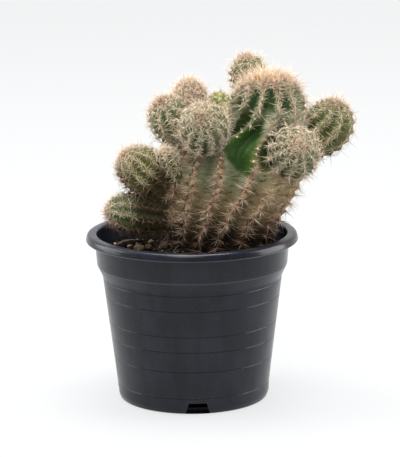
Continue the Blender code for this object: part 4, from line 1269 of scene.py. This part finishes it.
def make_plant():
    """The trunk and its offsets, each a skin and a piece of spines, and the fibres at the foot."""
    horn = spine_finish()
    trunk = Trunk("trunk", TRUNK_RIBS, 0.075, 0.960, (0.0044, 0.0044, 0.0048, 0.0029, 0.0026))
    heads = {name: Head(name + "_skin", form, *HEAD_LOOKS[name][5:]) for name, form in HEADS.items()}
    bodies = [trunk, *heads.values()]
    add_piece(trunk.skin(rows=240, columns=TRUNK_RIBS * 14), trunk_finish(),
              ("main_stem",))
    rng = np.random.default_rng(4)
    field, pads = spine_field(trunk, rng, radial=15, central=5, tuft=45, tuft_reach=0.14,
                              thick=(0.00006, 0.00011), look=trunk_look)
    make_spines(trunk, bodies, rng, field, pads, horn, pad_size=0.0005)
    skins = {}
    for name, head in heads.items():
        colours = HEAD_SKINS[name]
        if colours not in skins:
            skins[colours] = skin_finish("offset_skin_%d" % (len(skins) + 1), *colours)
        add_piece(head.skin(rows=76, columns=head.ribs * 10), skins[colours], (name,))
        base_tone, apex_tone, length, keep, thick = HEAD_LOOKS[name][:5]
        field, pads = spine_field(head, rng, radial=11, central=2, tuft=4, tuft_reach=0.075,
                                  thick=(0.85 * thick, 1.35 * thick),
                                  look=head_look(head.cork_to, base_tone, apex_tone, length, keep))
        make_spines(head, bodies, rng, field, pads, horn, pad_size=0.00035)
    make_fibres(horn)


# Stage

# Square lamps: name, place, what they are turned to, side in metres and power in watts
PLANT_MIDDLE = (0.02, 0.0, 0.09)
PAPER_MIDDLE = (0.0, 1.35, 0.0)
LAMPS = (
    ("top_light", (0.00, 0.05, 1.50), PLANT_MIDDLE, 1.0, 34.0),
    ("front_light", (-0.15, -1.00, 1.20), PLANT_MIDDLE, 0.7, 11.0),
    ("left_light", (-1.10, 0.30, 0.55), PLANT_MIDDLE, 0.9, 12.0),
    ("right_light", (1.20, 0.15, 0.50), PLANT_MIDDLE, 0.9, 14.0),
    ("paper_light", (0.00, 1.35, 1.40), PAPER_MIDDLE, 1.0, 5.0))

# The photograph's camera: its place, its yaw, pitch and roll in degrees, its focal length in pixels
# of the photograph, which is this many pixels high, and the sensor's side in millimetres
CAMERA_PLACE = (0.0, -1.2, 0.3482)
CAMERA_TURN = (0.19, 12.37, 0.56)
FOCAL_PIXELS = 2484.0
PHOTO_PIXELS = 457.0
SENSOR = 36.0


def make_stage():
    """A pale floor that curves up into a backdrop as a quarter circle, and soft lights."""
    across = np.linspace(-3.0, 3.0, 3)
    bend = np.linspace(0.1, 1, 12) * math.pi / 2
    depth = np.concatenate([[-3.0, 0.0, 1.2], 1.2 + 0.8 * np.sin(bend), [2.0]])
    rise = np.concatenate([[0.0, 0.0, 0.0], 0.8 * (1 - np.cos(bend)), [3.0]])
    points = np.stack([np.tile(across, len(depth)), np.repeat(depth, 3), np.repeat(rise, 3)], -1)
    i, j = np.meshgrid(np.arange(len(depth) - 1), np.arange(2), indexing="ij")
    quads = np.stack([i * 3 + j, i * 3 + j + 1, (i + 1) * 3 + j + 1, (i + 1) * 3 + j], -1)
    floor = bpy.data.objects.new("floor", build_mesh("floor", points, quads.reshape(-1, 4), []))
    bpy.context.scene.collection.objects.link(floor)
    paper = Finish("lit_paper", roughness=0.9, emission_strength=0.70)
    paper.set("Base Color", (0.10, 0.101, 0.102, 1.0))
    paper.set("Emission Color", (0.985, 0.995, 1.0, 1.0))
    floor.data.materials.append(paper.material)
    for name, place, target, size, power in LAMPS:
        lamp = bpy.data.lights.new(name, "AREA")
        lamp.shape = "SQUARE"
        lamp.size = size
        lamp.energy = power
        item = bpy.data.objects.new(name, lamp)
        bpy.context.scene.collection.objects.link(item)
        item.location = place
        back = np.array(place) - np.array(target)
        item.rotation_mode = "QUATERNION"
        item.rotation_quaternion = Vector(back).to_track_quat("Z", "Y")
    world = bpy.data.worlds.new("studio")
    world.use_nodes = True
    world.node_tree.nodes["Background"].inputs["Color"].default_value = (0.95, 0.97, 1.0, 1.0)
    world.node_tree.nodes["Background"].inputs["Strength"].default_value = 0.33
    bpy.context.scene.world = world
    view = bpy.context.scene.view_settings
    view.view_transform = "Standard"
    view.look = "None"


def make_camera():
    """The photograph's camera: 1.2 m away, looking 12 degrees down through a long lens."""
    yaw, pitch, roll = (math.radians(degrees) for degrees in CAMERA_TURN)
    ahead = np.array([math.sin(yaw) * math.cos(pitch), math.cos(yaw) * math.cos(pitch),
                      -math.sin(pitch)])
    right = np.array([math.cos(yaw), -math.sin(yaw), 0.0])
    up = np.cross(right, ahead)
    turned_right = math.cos(roll) * right - math.sin(roll) * up
    turned_up = math.sin(roll) * right + math.cos(roll) * up
    lens = bpy.data.cameras.new("camera")
    lens.sensor_width = SENSOR
    lens.lens = SENSOR * FOCAL_PIXELS / PHOTO_PIXELS
    lens.clip_start = 0.05
    lens.clip_end = 50.0
    camera = bpy.data.objects.new("camera", lens)
    bpy.context.scene.collection.objects.link(camera)
    turn = Matrix(np.stack([turned_right, turned_up, -ahead], -1).tolist())
    camera.rotation_mode = "QUATERNION"
    camera.rotation_quaternion = turn.to_quaternion()
    camera.location = CAMERA_PLACE
    bpy.context.scene.camera = camera


make_pot(pot_finish())
make_soil()
make_crumbs()
make_grit()
make_leaf()
make_plant()
make_stage()
make_camera()
